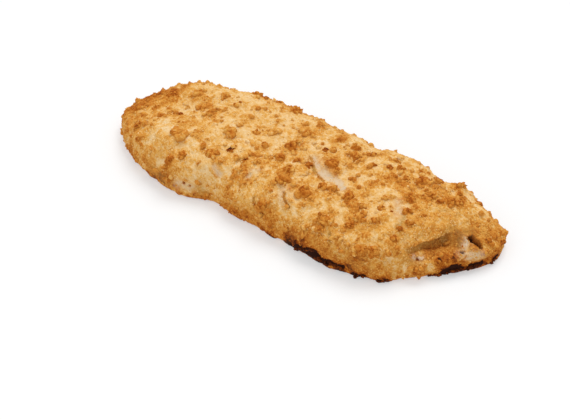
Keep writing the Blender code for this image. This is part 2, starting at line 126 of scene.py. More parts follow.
# --- the crust's grid, and its map -------------------------------------------
SIDE_COLUMNS = 230  # along each side of the spine
CAP_COLUMNS = 200  # round each of its ends
UPPER_RINGS = 80  # from the spine over the top to the outline
EDGE_RINGS = 12  # from there round to the underside
UNDER_RINGS = 8
RING_CROWDING = 0.86  # under 1 crowds the rings towards the wall
MAP_STRIPS = 2  # the columns lie in two by two strips on the finish's map
MAP_MARGIN = 0.006

# --- relief: size of a noise's cells, its height and its seed -----------------
SWELLS = (21.0, 0.8, 1)
LUMPS = (7.5, 0.85, 2)
KNOBBLES = (3.6, 0.42, 3)
GRIT = (1.1, 0.12, 4)
SWELLS_FADE_BELOW = 4.0
RELIEF_FADES_BELOW = 1.2  # the underside stays flat
RELIEF_MEAN = 0.80  # taken off, so that the crust lies where the solid does
UNEVENNESS = (2.6, 1.0, 50)  # moves the places of the bumps and patches
# Round bumps that are browned on top: cell, share of the cells, seed, rise and toasting.
BLISTERS = ((5.0, 0.52, 20), 0.55, 0.19)
CLODS = ((2.5, 0.50, 60), 0.34, 0.17)
GRAINS = ((1.15, 0.85, 30), 0.18, 0.05)
BUMP_RADII = (0.45, 0.50)  # in cells: the least, and how much more by the bump's draw
BUMP_RISES = (0.45, 0.55)  # likewise, in shares of the kind's rise
BUMPS_BROWN_FROM = (-1.1, 0.3)  # levels of the patches' layout
BUMP_TOPS = (0.0, 0.45)  # heights in the bump
PATCH_RISE = 0.30  # how far the golden patches stand up

# --- how far the oven has toasted the crust ------------------------------------
TOAST_CREAM = 0.08
TOAST_PATCH = 0.20  # how much further the golden patches are toasted
PATCH_NOISE = ((5.6, 1.0, 40), (2.4, 0.6, 41))
PATCH_GRIT = (1.1, 0.3, 42)
PATCH_LEVELS = (-0.25, 0.55)
PATCH_BASE = 0.05  # how much of the crust is golden, where nothing changes it
# How much more of it is golden in some regions: change, middle, radii and turn.
PATCH_CHANGES = (
    (-0.55, (-42.0, 20.0), (34.0, 13.0), 0.0),
    (-0.38, (28.0, 26.0), (26.0, 7.0), 0.0),
    (-0.50, (-27.0, 0.0), (16.0, 9.0), 0.0),
    (-0.10, (-62.0, -10.0), (10.0, 6.0), -20.0),
    (0.45, (-55.0, -21.0), (10.0, 4.5), -20.0),
    (0.70, (-58.0, -5.0), (8.0, 4.0), 0.0),
    (-0.35, (-3.0, -27.5), (6.0, 4.0), 0.0),
    (0.40, (15.0, -29.5), (5.0, 3.0), 0.0),
    (-0.35, (25.5, -31.0), (6.0, 3.0), 0.0),
    (0.25, (34.0, -15.0), (6.0, 4.0), 0.0),
    (-0.35, (24.0, -1.0), (16.0, 8.0), -20.0),
    (-0.30, (14.0, -22.0), (8.0, 5.0), 0.0),
    (0.40, (52.0, 12.0), (14.0, 6.0), 0.0),
    (0.60, (66.0, -8.0), (8.0, 16.0), -20.0),
    (0.70, (-88.0, -4.0), (8.0, 18.0), 0.0),
    (0.60, (-66.0, -20.0), (15.0, 8.0), -25.0),
)
# The browned foot: toasting, more of it on the clods, and the levels it sets in between,
# which are uneven by the waves.
FOOT_TOAST, FOOT_CLODS, FOOT_LEVELS = 0.20, 0.22, (10.0, 2.0)
FOOT_WAVES = (7.0, 2.4, 70)
UNDERSIDE_TOAST = 0.30
UNDERSIDE_LEVELS = (1.4, 0.1)
CHAR_TOAST = 0.70
SCORCH_TOAST, SCORCH_REACH = 0.24, 2.2  # the browned crust round the burnt lines
BURNT_NOISE = ((3.0, 0.5, 80), (1.2, 0.3, 81))
# Shares of closeness where the char and the scorch are uneven, and where they set in.
CHAR_UNEVEN, CHAR_LEVELS = (0.0, 0.4), (0.40, 0.80)
SCORCH_UNEVEN, SCORCH_LEVELS = (0.0, 0.3), (0.1, 0.9)
SCORCH_WAVES = 0.5  # share of the noise that the scorch has
# Lines along the foot where the breading is burnt, and how far up from them.
CHAR_LINES = (
    (((18.5, -31.2, 1.2), (21.5, -31.8, 2.4)), 1.7),
    (((22.5, -32.4, 3.2), (25.5, -33.0, 5.0), (28.5, -33.6, 5.8)), 3.4),
    (((30.0, -33.6, 3.0), (32.5, -33.7, 2.6)), 1.2),
    (((34.0, -33.6, 3.0), (38.0, -33.2, 3.4), (41.5, -32.6, 3.0)), 2.0),
    (((46.5, -31.2, 1.4), (50.5, -30.2, 1.4)), 1.4),
    (((56.0, -28.0, 0.8), (58.6, -27.0, 1.0)), 1.5),
    (((71.0, -14.8, 0.8), (74.6, -11.8, 1.4)), 1.5),
    (((76.6, -9.9, 2.0), (78.2, -8.2, 2.8), (79.4, -6.6, 2.4)), 2.7),
    (((80.6, -5.2, 2.2), (83.2, -2.0, 2.4), (85.4, 1.4, 2.4)), 1.5),
    (((87.6, 6.4, 1.0), (88.0, 7.4, 1.4)), 0.7),
)

# --- what the photograph shows at one place ---------------------------------------
LINE_STEP = 0.5  # between two places of a line on the crust
SHARP_EDGE = (0.25, 0.60)  # shares of closeness between which a sharp mark sets in
MARK_WAVES = (1.7, 0.5, 90)  # how uneven the marks' edges are
BARE_EVENS, BARE_TOAST = 0.75, 0.24  # how even the toasting is where the crust is bare
SEAT_ABOVE = 4.0  # plan places are seated on corners over this level
SEAT_LEANS_UP = 0.03  # how much nearer a corner counts for each millimetre of its height


class Feature(NamedTuple):
    """A mark along a line on the crust. A place of two numbers is seated on the crust's
    top and one of three lies in space. The mark falls off over its radius, or at it
    where the mark is sharp. It adds its rise and toasting, turns the crust pale or
    olive, and says how bare of crumbs and how even the crust is. The olive is partly
    painted shade, in hollows, cracks and pits, and partly an olive tint of the crust."""

    line: tuple
    radius: float
    sharp: bool = False
    rise: float = 0.0
    toast: float = 0.0
    pale: float = 0.0
    olive_tint_and_shade: float = 0.0
    bare: float = 0.0


FEATURES = (
    # the browned rim round the thin end, the pale bowl, and the smooth front cheek
    Feature(((-83, -15), (-88, -5), (-86, 6), (-80, 15), (-71, 24)), 8.0, toast=0.09),
    Feature(((-84, -2), (-79, 5), (-73, 11), (-70, 14)), 4.0, toast=0.11),
    Feature(((-60, 30), (-40, 35)), 4.5, toast=0.16),
    Feature(((-72, -8), (-74, 0), (-70, 6)), 6.0, toast=0.12),
    Feature(((-60, -19), (-47, -24), (-35, -26)), 6.0, toast=-0.10, bare=0.6),
    Feature(((-38, 9), (-28, 9)), 4.5, toast=0.10),
    Feature(((-60, -10), (-46, -17)), 5.0, toast=-0.08),
    # the front wall, browner from the middle to the cut end, and paler at the thin end
    Feature(((-20, -27.5, 9.5), (0, -30, 9.5), (20, -31.5, 9.0)), 4.0, toast=0.12),
    Feature(((20, -32, 7), (34, -33.5, 7), (50, -31, 7)), 5.5, toast=0.14, olive_tint_and_shade=0.30),
    Feature(((-90, 2, 3.5), (-88, -8, 3.5), (-80, -16, 3.5), (-68, -26, 3.5)), 6.0, toast=-0.18),
    Feature(((-50, -31, 2.5), (-30, -30, 2.5)), 4.0, toast=-0.10),
    Feature(((-14, -29, 5), (-6, -29.5, 5)), 4.0, toast=0.10),
    Feature(((-4, -30.5, 3.5), (12, -32, 3.5)), 4.0, toast=0.09),
    Feature(((60, -26, 1.5), (69.5, -17.5, 1.5)), 5.0, toast=-0.28),
    # the tear, its dark ends, and cracks in the crust, darkened along their sunk lines with painted
    # shade
    Feature(((4.5, 2.5), (9, -1), (13.5, -3.6), (18, -5), (24, -7.2)), 2.6,
            rise=-0.3, pale=0.40, bare=0.75),
    Feature(((4.5, 2.6), (8, -0.4), (11, -2.6)), 1.1, True, rise=-0.4, pale=0.80),
    Feature(((12, -2.8), (14, -3.6), (17.5, -4.2), (21, -4.6), (23.8, -6.0)), 2.3, True,
            rise=-0.5, pale=0.88),
    Feature(((3, 2.5), (5.5, 0.8)), 0.7, True, rise=-0.5, toast=0.25, olive_tint_and_shade=0.5),
    Feature(((7.2, -1.6), (8.8, -3.6), (10.6, -5.2)), 0.8, True, rise=-0.6, toast=0.12, olive_tint_and_shade=0.75),
    Feature(((12, -5.2), (13.5, -6.4), (15.5, -7.4)), 0.75, True, rise=-0.5, toast=0.30, olive_tint_and_shade=0.5),
    Feature(((22.5, -11.6), (24.2, -11), (26, -11.6)), 0.7, True, rise=-0.5, toast=0.25, olive_tint_and_shade=0.5),
    Feature(((5.8, -20.5), (7.2, -23), (8.8, -24.6)), 2.0, rise=-0.4, pale=0.6, bare=0.8),
    Feature(((6.6, -21.5), (8.2, -24), (11, -25.4)), 0.7, True, rise=-0.7, toast=0.25, olive_tint_and_shade=0.5),
    Feature(((-4.5, -27.2), (-2.8, -28.6), (-2, -29.4)), 0.8, True, rise=-0.6, toast=0.25, olive_tint_and_shade=0.4),
    Feature(((-12, -21), (-12, -18), (-9, -16)), 1.2, rise=-0.3, pale=0.6),
    Feature(((-20, -15), (-19, -14)), 0.9, rise=-0.5, toast=0.10, olive_tint_and_shade=0.9),
    Feature(((-27.7, -22.6), (-24.7, -24)), 1.1, rise=-0.2, pale=0.8, bare=0.8),
    Feature(((55, -14.5), (55.5, -11.5), (54.5, -8)), 1.0, rise=-0.5, olive_tint_and_shade=0.7, bare=0.5),
    Feature(((52, -9), (51, -6), (48, -3)), 1.8, rise=-0.2, pale=0.55, bare=0.6),
    Feature(((33, -29), (35, -31)), 0.9, rise=-0.5, toast=0.10, olive_tint_and_shade=0.8),
    # the thin end's wall: pale with two sunk dark dots, darkened as painted shade of their pits, a
    # browned crumb, and painted olive shade beside it in the hollow under the cheek
    Feature(((-41, -31, 6.5), (-38, -31, 7), (-35, -30.3, 6)), 2.2, pale=0.55, bare=0.7),
    Feature(((-38.2, -30.9, 7.8), (-38.2, -31.1, 7.4)), 0.75, True, rise=-0.7, toast=0.6),
    Feature(((-35.4, -30.5, 6.6), (-35.4, -30.7, 6.2)), 0.6, True, rise=-0.6, toast=0.45),
    Feature(((-42.6, -31.7, 4.8), (-41, -31.7, 4.8)), 1.1, rise=0.5, toast=0.30),
    Feature(((-56, -29.3, 5.5), (-50.5, -30.6, 5), (-45.5, -31.3, 6)), 3.2, toast=0.10, olive_tint_and_shade=0.50),
    Feature(((-33, -29.5, 6), (-30, -28.5, 4.5)), 2.4, toast=0.08, olive_tint_and_shade=0.45),
    Feature(((-50.8, -30.8, 5.4), (-49.8, -30.8, 5.2)), 1.3, rise=0.3, toast=0.22),
    # a fuller wall and corner, and a hollow over the thickest char
    Feature(((-20, -28.5, 5.5), (-14.5, -29, 5.5)), 4.5, rise=1.1),
    Feature(((-78, 17, 11), (-74, 20, 12)), 4.5, rise=1.0),
    Feature(((26, -33, 3.6), (30, -33.5, 3.6)), 3.0, rise=-1.2),
    # the flap's fine sand
    Feature(((52, -20), (60, -12), (64, -2), (70, 10)), 5.5, toast=0.02, bare=0.75),
    # under the flap: the hollow, its shade painted in olive, the browned lip, and the slope beyond
    Feature(
        ((62.9, -17.6, 10.7), (63.5, -13.7, 10.6), (65.2, -7.5, 10.6), (67.2, -1.8, 10.8),
         (69.3, -0.6, 12.0), (72.0, 1.6, 12.8)),
        3.0, toast=0.13, olive_tint_and_shade=0.52, bare=0.85,
    ),
    Feature(((68.1, -10.6, 9.2), (69.4, -7.7, 9.0), (70.8, -4.5, 8.5), (72.6, -3, 8.4)), 2.6,
            rise=0.5, toast=0.26, olive_tint_and_shade=0.22, bare=0.7),
    Feature(((74, -8, 6.5), (78, -4, 6.5)), 2.5, toast=0.08, olive_tint_and_shade=0.15),
    Feature(((66, -19.5, 4.5), (73, -13.5, 4.5)), 4.0, toast=0.05),
    Feature(((50, -29, 6), (60, -25, 6)), 5.0, toast=0.07),
    Feature(((64.3, -17, 9.6), (65.7, -16.3, 8.8), (67, -14.9, 8.3)), 1.3,
            toast=0.20, pale=0.35, bare=0.9),
    Feature(((64.4, -17.1, 9.6), (64.8, -17.1, 9.2)), 0.9, True, rise=0.4, pale=0.75),
    Feature(((66.4, -15.5, 8.8), (67, -14.9, 8.5)), 0.9, True, rise=0.4, pale=0.75),
    Feature(((63.8, -17.6, 9.0), (63.9, -17.7, 8.8)), 0.6, True, rise=-0.5, toast=0.30),
    Feature(((65.7, -16.4, 8.6), (65.9, -16.4, 8.4)), 0.6, True, rise=-0.5, toast=0.25),
    Feature(((72, -11.6, 7.5), (72.6, -10.6, 7.4)), 0.8, toast=0.4),
    Feature(((76.8, -6.3, 7.6), (77.2, -5.6, 7.8)), 0.7, toast=0.3),
    # the lip's pale crumb, in painted olive shade under the flap, the hole's whitish rim, the hole
    # and its pit darkened with painted shade, and the lump below it
    Feature(((72.4, 2.4, 13.0), (74.2, 0.9, 11.3), (75.6, -0.4, 9.9)), 2.0,
            toast=0.26, olive_tint_and_shade=0.65, bare=1.0),
    Feature(((75.2, 2.8, 12.2), (75.8, 5.6, 12.8), (77.0, 7.2, 12.6)), 2.2,
            toast=0.12, olive_tint_and_shade=0.60, bare=0.8),
    Feature(((79, 9.5, 11.5), (83, 8.5, 10)), 4.0, toast=0.08, olive_tint_and_shade=0.20),
    Feature(((78.3, -3, 9.1), (80.1, -3.4, 8.6), (82.8, -1.2, 7.7), (85, 1.5, 7)), 1.9,
            pale=0.80, olive_tint_and_shade=0.1, bare=0.8),
    Feature(((81.2, 1.2, 10.1), (81.8, 1.5, 9.8)), 2.1, rise=1.3, toast=0.30, bare=1.0),
    Feature(((77.3, 2.1, 11.5), (78.2, 0.8, 10.8), (78.2, -0.6, 10.2)), 1.6,
            pale=0.50, olive_tint_and_shade=0.5, bare=1.0),
    Feature(((77.4, 2.6, 11.6), (77.9, 0.7, 10.8), (78.1, -0.9, 10.0)), 1.2, True,
            rise=0.3, pale=0.9),
    # the hole: sunk, and darkened in and round it with painted shade
    Feature(((78.4, 3.8, 11.4), (80.2, 4.2, 10.8), (82.4, 4.0, 10.0)), 1.9, True,
            toast=0.42, olive_tint_and_shade=0.3, bare=1.0),
    Feature(((78.3, 3.4, 11.3), (80.4, 3.7, 10.7), (82.4, 3.7, 10.0)), 1.4, True,
            rise=-2.6, toast=0.18),
    # its pit, toasted nearly black as painted shade
    Feature(((77.9, -2.7, 9.4), (78.0, -2.9, 9.2)), 0.75, True, rise=-1.2, toast=0.8, bare=1.0),
    Feature(((85.5, 14, 8), (87.5, 13, 6), (88.3, 11, 4.0), (87, 6, 3.5)), 2.8, toast=0.28),
    Feature(((83, 7.9, 10.3), (84, 7.6, 9.8)), 0.8, toast=0.3),
    Feature(((85.5, 2.8, 7.2), (84.9, 1.6, 7.4)), 0.7, toast=0.35),
)

# --- large crumbs: plan place, length, width and toasting ----------------------
CRUMB_TURN = 35.0  # degrees from X to the line that the length lies along
LARGE_CRUMBS = (
    (-63, 13, 4.3, 4, 0.5), (-54, 6, 5.5, 4.5, 0.58), (-61, -3, 2.6, 2.4, 0.88),
    (-48, 6, 2.2, 1.6, 0.55), (-50, 15, 2.7, 5.5, 0.5), (-43, 12, 1.6, 1.4, 0.65),
    (-42, 15, 1.6, 1.5, 0.66), (-21, 26, 4, 3, 0.62), (-41, 27, 4.8, 1.8, 0.66),
    (-38, 28, 3.2, 1.8, 0.75), (-32, 29, 3.2, 1.8, 0.66), (-50, -17, 7, 6, 0.48),
    (-33, -4, 4.8, 5, 0.56), (-27, -12, 2.7, 2.2, 0.92), (-43, -24, 3.2, 3, 0.6),
    (-47, -28, 4.3, 2.2, 0.68), (-32, -18, 6, 3, 0.58), (-35, -24, 2, 1.5, 0.46),
    (-17, -10, 3.8, 1.5, 0.56), (-18, -14, 2, 1.5, 0.86), (-13, -13, 3.2, 2.2, 0.56),
    (-17, -2, 2.7, 2.2, 0.57), (-21, -5, 2.2, 1.2, 0.5), (-6, 2, 4, 4, 0.7), (-6, 6, 3.2, 3, 0.45),
    (-6, -6, 2.7, 5.5, 0.63), (0, -3, 3.2, 1.8, 0.6), (1.5, -11, 3.4, 3.2, 0.6),
    (6, -3, 2.7, 3, 0.8), (2.5, -17.2, 5.2, 3.8, 0.64), (13, -18, 5.5, 6, 0.62),
    (-7, 13, 4.3, 4, 0.54), (-25, 3, 3.2, 1.8, 0.56), (-18, 7, 7, 3, 0.4),
    (-73, -17, 3.2, 2.2, 0.66), (-81, -5, 3.2, 3, 0.66), (-65, -8, 2.2, 1.3, 0.55),
    (-33, 2, 2.7, 2.2, 0.44), (-6, 23, 3, 3, 0.58), (6, 9, 2.4, 1.8, 0.8), (13, 3, 5.4, 4.6, 0.68),
    (18, 13, 4.3, 4.5, 0.54), (23, 18, 3.8, 2.2, 0.74), (15, 18, 4.3, 1.4, 0.66),
    (27, 12, 2.7, 1.8, 0.68), (34, 14, 3.8, 2.2, 0.88), (38, 16, 2.7, 1.5, 0.56),
    (43, 12, 3.2, 1.8, 0.66), (49, 14, 6, 4.5, 0.7), (54, 19, 3.8, 4, 0.66), (57, 9, 3.2, 2.2, 0.7),
    (61, 8, 3.2, 2.2, 0.78), (64, 11, 4.3, 4, 0.56), (67, 13, 3.8, 2.2, 0.6), (51, 2, 2.7, 6, 0.72),
    (54, -5, 3.8, 2.2, 0.68), (60, -2, 2.2, 1.3, 0.6), (25, 1, 3.2, 1.8, 0.6),
    (43, -4, 2.7, 1.5, 0.56), (34, 3, 3.2, 2.2, 0.56), (30, -11, 3.2, 6, 0.68),
    (18, -11, 3.8, 4, 0.58), (22, -10, 4.8, 2.2, 0.56), (39, -23, 3.2, 2.2, 0.74),
    (56.3, -14.3, 2.6, 1.6, 0.72), (57.6, -10, 2.8, 1.6, 0.66), (52, -27, 4.3, 3, 0.62),
    (29, -29, 2.2, 3, 0.66), (37, -29, 4.8, 3, 0.42), (30, -25, 5.4, 3, 0.55),
    (45, -10, 3.2, 1.5, 0.56), (49, -9, 1.6, 1.2, 0.8), (41, -18, 4.8, 4.5, 0.56),
    (47, -17, 4.8, 2.2, 0.56), (57, -19, 3.8, 1.5, 0.66), (38, -13, 2.7, 3, 0.56),
    (62, 23, 3.8, 3, 0.54), (33, 21, 3.2, 1.5, 0.56), (45, 21, 2.7, 1.5, 0.56),
    (79, 17, 2.2, 1.5, 0.45), (71, 23, 2.2, 3, 0.68), (73, -12, 2.2, 1.5, 0.74),
    (84, 9, 2.7, 1.5, 0.7), (0, -28.5, 4.3, 4.5, 0.58), (47, -29.5, 4.3, 3, 0.52),
)
# The crust rises under each and is browned round it: radius and height in shares of its
# size, and toasting for each share of its own toasting over the last value.
MOUND_RADIUS, MOUND_RISE = 0.60, 0.12
HALO_RADIUS, HALO_TOAST, HALO_FROM = 0.75, 0.28, 0.15

# --- how crumbs are made: pairs are a value and how much a draw adds to it ------
LOBES_EACH = 6  # one in the middle, the rest round it
LOBE_TURNS = 0.2  # how unevenly they are spaced, in turns
LOBE_SPREAD, LOBE_REACHES = 0.29, (0.8, 0.5)  # how far from the middle, in crumb sizes
LOBE_SIZES, MIDDLE_LARGER = (0.50, 0.26), 0.10  # shares of the crumb's size
LOBE_LENGTHS, LOBE_WIDTHS = (1.0, 0.5), (0.8, 0.4)  # shares of the lobe's size
LEAST_LOBE = 1.0
LOBE_HEIGHT, MOST_HEIGHT = 1.05, 2.7  # a share of the lobe's size, and millimetres
CLUMPED_OVER = (1.6, 0.5)  # a smaller crumb has fewer lobes round its middle
LOBE_TONE, LOBE_TONE_VARIES, OUTER_TONE = -0.01, 0.16, -0.10
LOBE_DRAWS, FLAKE_DRAWS = 200, 600  # seeds
FACE_PLANES = 8  # pairs of planes that cut a crumb
PLANE_POWER = 9  # the higher, the sharper the edges between them
PLANE_DISTANCES = (0.68, 0.32)
LUMPY_SHARE = 0.9  # share of the cells with a lump on a crumb's surface
SKIRT_LEVELS = (-0.35, 0.55)  # heights in a crumb's ball where its skirt turns to its top
LEAST_LEVEL = 0.05  # nothing of a crumb is lower
TILE_MARGIN = 0.04
LEAST_SEAT, LEAST_UP = 1.2, -0.5  # small crumbs sit over this level, on what faces so far up
CHARRED = 0.60  # small crumbs keep off what is toasted so far
CELLS_A_SIDE = 4096  # more than the cells across the fillet
CROWDED = (0.16, 0.42)  # toasting of the crust between which the small crumbs crowd
SMALL_WIDTHS, SMALL_HEIGHTS = (0.70, 0.30), (0.70, 0.35)  # shares of the length
SMALL_TOASTS = (0.13, 0.95)  # least and most
FLAKE_EVERY = 2  # one for so many steps of a burnt line
FLAKE_SCATTER = 0.8
FLAKE_LENGTHS, FLAKE_WIDTHS, FLAKE_HEIGHTS = (1.4, 1.6), (0.8, 0.6), (0.9, 0.7)
FLAKE_TOASTS = (0.88, 0.14)


class Kind(NamedTuple):
    """How one kind of crumb is made. Its slot is not used."""

    name: str
    slot: str
    shape: tuple  # corners round its ball, and rows of them between the poles
    lumps: tuple  # cell and height of the lumps on its surface
    seam_shade_and_spread: tuple  # how much darker its seams are, a painted shade that also lightens the lumps' tips, and how much its lumps differ
    skirt: float  # the most that its skirt is toasted
    sunk: float  # share of its height that its middle is sunk
    seed: int


class Rule(NamedTuple):
    """Where small crumbs are spread, and how large and how toasted they are."""

    cell: float  # at most one crumb in each cell of space
    least_clod: float  # least height of the crust's clods under them
    kept: tuple  # share kept where the crust is cream, and where it is golden
    thinned: tuple  # how bare a crust thins them out, and keeps them off
    lengths: tuple  # least and most
    follows: float  # share of the crust's own toasting that they have
    past: float  # toasting past that
    varies: float  # and how much it varies


LARGE_KIND = Kind("large_crumbs", "crumb", (9, 5), (1.1, 0.36), (0.28, 0.18), 0.40, -0.02, 300)
GOLDEN_KIND = Kind("golden_crumbs", "crumb", (8, 3), (1.0, 0.18), (0.06, 0.16), 0.30, 0.0, 410)
FINE_KIND = Kind("fine_crumbs", "crumb", (5, 2), (0.8, 0.10), (0.0, 0.0), 1.0, 0.1, 510)
BURNT_KIND = Kind("burnt_flakes", "char", (8, 4), (0.8, 0.35), (0.1, 0.2), 0.92, -0.1, 610)
GOLDEN_RULE = Rule(2.2, 0.62, (0.26, 0.74), (0.0, 0.3), (0.9, 3.3), 0.7, 0.16, 0.26)
FINE_RULE = Rule(1.12, -1.0, (0.20, 0.90), (0.75, 1.0), (0.55, 1.15), 1.0, -0.08, 0.34)

# --- finishes -------------------------------------------------------------------
# Toasting and the colour it gives: cream, straw, gold, amber, brown, dark, burnt, char.
TOAST_COLOURS = (
    (0.00, (0.795, 0.590, 0.335)),
    (0.12, (0.760, 0.480, 0.190)),
    (0.25, (0.690, 0.350, 0.072)),
    (0.42, (0.590, 0.232, 0.034)),
    (0.58, (0.455, 0.135, 0.013)),
    (0.76, (0.280, 0.062, 0.006)),
    (0.90, (0.110, 0.022, 0.004)),
    (1.00, (0.030, 0.009, 0.005)),
)
PALE_COLOUR = (0.66, 0.525, 0.37, 1.0)
# olive: painted shade in the hollow under the flap, in cracks and pits, and partly an olive tint of
# the crust
OLIVE_TINT_AND_SHADE_COLOUR = (0.38, 0.215, 0.055, 1.0)
SPECULAR_LEVEL = 0.03
NOISE_ROUGHNESS = 0.6
# The finer grain: how much finer it is, and its shares in colour and in relief.
FINER_GRAINS, FINER_TONE, FINER_HEIGHT = 2.3, 2.0, 0.8
GRAINS_A_METRE = 1350.0
MOTTLE, MARK_GRAIN = (420.0, 3.0), (900.0, 2.0)  # scale and detail
MARK_GRAIN_SPAN = (0.3, 0.7, 0.55, 1.15)
# How much the grain and the mottle swing the toasting, where it is cream and where golden.
GRAIN_TONE, MOTTLE_TONE = (0.11, 0.27), (0.11, 0.18)
CREAM_TO_GOLDEN = (0.08, 0.30)
CRUST_ROUGHNESS = (0.55, 0.85)
CRUST_RELIEF, CRUMB_RELIEF = (0.0003, 0.8), (0.0002, 0.6)  # depth in metres, and strength
# Crumb finishes: grains a metre, how much they swing the toasting, and roughness.
CRUMB_FINISHES = {
    "toasted crumb": (1500.0, 0.18, (0.45, 0.75)),
    "fine crumb": (1800.0, 0.12, (0.50, 0.80)),
    "burnt crumb": (1500.0, 0.10, (0.40, 0.70)),
}

# --- floor, light and camera ------------------------------------------------------
CAMERA_AZIMUTH, CAMERA_ELEVATION = 35.0, 40.0
CAMERA_LENS = 100.0
CAMERA_DISTANCE = 652.0
CAMERA_TARGET = (0.8, -12.8, 0.0)
FLOOR_HALF = 1.5
FLOOR_COLOUR, FLOOR_GLOW, FLOOR_ROUGHNESS = 0.48, 0.42, 0.9
SKY_STRENGTH = 0.72
# Each sun's name, where it shines from, strength and spread in degrees.
SUNS = (
    ("key", (-0.08, 0.56, 1.0), 1.62, 36.0),
    ("fill", (-0.25, -1.0, 0.55), 0.60, 80.0),
)


# --- the bare crust -----------------------------------------------------------------
def ease(start, end, value):
    """0 at start, 1 at end, with level ends."""
    share = np.clip((value - start) / (end - start), 0.0, 1.0)
    return share * share * (3.0 - 2.0 * share)


def varied(pair, draw):
    """A value, and how much a draw from 0 to 1 adds to it."""
    value, more = pair
    return value + more * draw


def hill(x, y, height, at, radii, turn):
    """A smooth hill, or a hollow where its height is negative, at a plan place."""
    cos, sin = math.cos(math.radians(turn)), math.sin(math.radians(turn))
    along = (x - at[0]) * cos + (y - at[1]) * sin
    across = (y - at[1]) * cos - (x - at[0]) * sin
    return height * np.exp(-((along / radii[0]) ** 2) - (across / radii[1]) ** 2)


def catmull_rom(before, start, end, after, share):
    """The cubic from start to end whose ends head along the neighbouring chords."""
    return 0.5 * (
        2 * start
        + (end - before) * share
        + (2 * before - 5 * start + 4 * end - after) * share**2
        + (3 * start - before - 3 * end + after) * share**3
    )


def smooth_line(points, closed):
    """A Catmull-Rom curve through plan points, as an array of points."""
    line = np.asarray(points, float)
    if closed:
        padded = np.vstack([line[-1:], line, line[:2]])
    else:
        padded = np.vstack([2 * line[:1] - line[1:2], line, 2 * line[-1:] - line[-2:-1]])
    spans = len(padded) - 3
    before, start, end, after = (padded[:, None][i : i + spans] for i in range(4))
    share = np.arange(CURVE_STEPS)[None, :, None] / CURVE_STEPS
    curve = catmull_rom(before, start, end, after, share).reshape(-1, line.shape[1])
    return curve if closed else np.vstack([curve, line[-1:]])


def spine_columns():
    """Feet and headings of the columns: back side, round end, front side, cut end."""
    along = np.linspace(SPINE_HALF, -SPINE_HALF, SIDE_COLUMNS, endpoint=False)
    around = np.linspace(0.0, math.pi, CAP_COLUMNS, endpoint=False)
    quarter = math.pi / 2
    feet = [along, np.full(CAP_COLUMNS, -SPINE_HALF), -along, np.full(CAP_COLUMNS, SPINE_HALF)]
    headings = [
        np.full(SIDE_COLUMNS, quarter),
        quarter + around,
        np.full(SIDE_COLUMNS, -quarter),
        around - quarter,
    ]
    return np.concatenate(feet), np.concatenate(headings)


def reach_to(line, foot, heading):
    """Distance from each foot, along its heading, to a plan line; -1 where it misses."""
    start, step = line[:-1], np.diff(line, axis=0)
    dx, dy = np.cos(heading)[:, None], np.sin(heading)[:, None]
    ax = start[None, :, 0] - foot[:, None]
    ay = start[None, :, 1] - SPINE_Y
    ex, ey = step[None, :, 0], step[None, :, 1]
    cross = dy * ex - dx * ey
    cross = np.where(np.abs(cross) < NEARLY_PARALLEL, NEARLY_PARALLEL, cross)
    distance = (ay * ex - ax * ey) / cross
    share = (dx * ay - dy * ax) / cross
    met = (share >= 0) & (share <= 1) & (distance > 0)
    return np.where(met, distance, -1.0).max(axis=1)


def crown(x, y):
    """Height of the crust's top over each plan place, before it rounds to the wall."""
    away = (x - FLAP_LINE_AT[0]) * FLAP_LINE_FACES[0] + (y - FLAP_LINE_AT[1]) * FLAP_LINE_FACES[1]
    top = THICKNESS - THIN_END_DROP * ease(*THIN_END_X, x)
    top = top - CUT_END_DROP * ease(*CUT_END_X, x) - LIP_DROP * ease(*LIP_PAST_FLAP, away)
    return top + hill(x, y, *BOWL) + hill(x, y, *CHEEK) + hill(x, y, *RIM)


def ring_shares():
    """How far along the section each ring lies, crowded towards the wall."""
    return (np.arange(UPPER_RINGS + 1) / UPPER_RINGS) ** RING_CROWDING


def section():
    """The superellipse quarter as shares of reach and of rise, one pair a ring."""
    angle = np.linspace(0.0, math.pi / 2, SECTION_SAMPLES)
    out = np.sin(angle) ** (2 / SHOULDER_ACROSS)
    up = np.cos(angle) ** (2 / SHOULDER_UP)
    rise = THICKNESS - WIDEST_LEVEL
    step = np.hypot(np.diff(out) * SECTION_HALF_WIDTH, np.diff(up) * rise)
    length = np.concatenate([[0.0], np.cumsum(step)])
    at = ring_shares() * length[-1]
    return np.interp(at, length, out), np.interp(at, length, up)


def cut_section(reach, flap, top, flap_top, depth):
    """The cut end's section: over the flap, in under it, and out along the lip."""
    out, up = (np.array(column).T for column in zip(*CUT_SECTION))
    one = np.ones_like(reach)
    away = np.stack([flap, depth, reach - flap, one], -1) @ out
    height = np.stack([top, flap_top, WIDEST_LEVEL * one, reach - flap, one], -1) @ up
    knots = np.stack([away, height], -1)
    knots = np.concatenate([2 * knots[:, :1] - knots[:, 1:2], knots], axis=1)
    at = np.interp(ring_shares(), CUT_KNOT_SHARES, np.arange(len(CUT_KNOT_SHARES)))
    span = np.minimum(at.astype(int), len(CUT_KNOT_SHARES) - 2)
    before, start, end, after = (knots[:, span + step] for step in range(4))
    return catmull_rom(before, start, end, after, (at - span)[:, None])


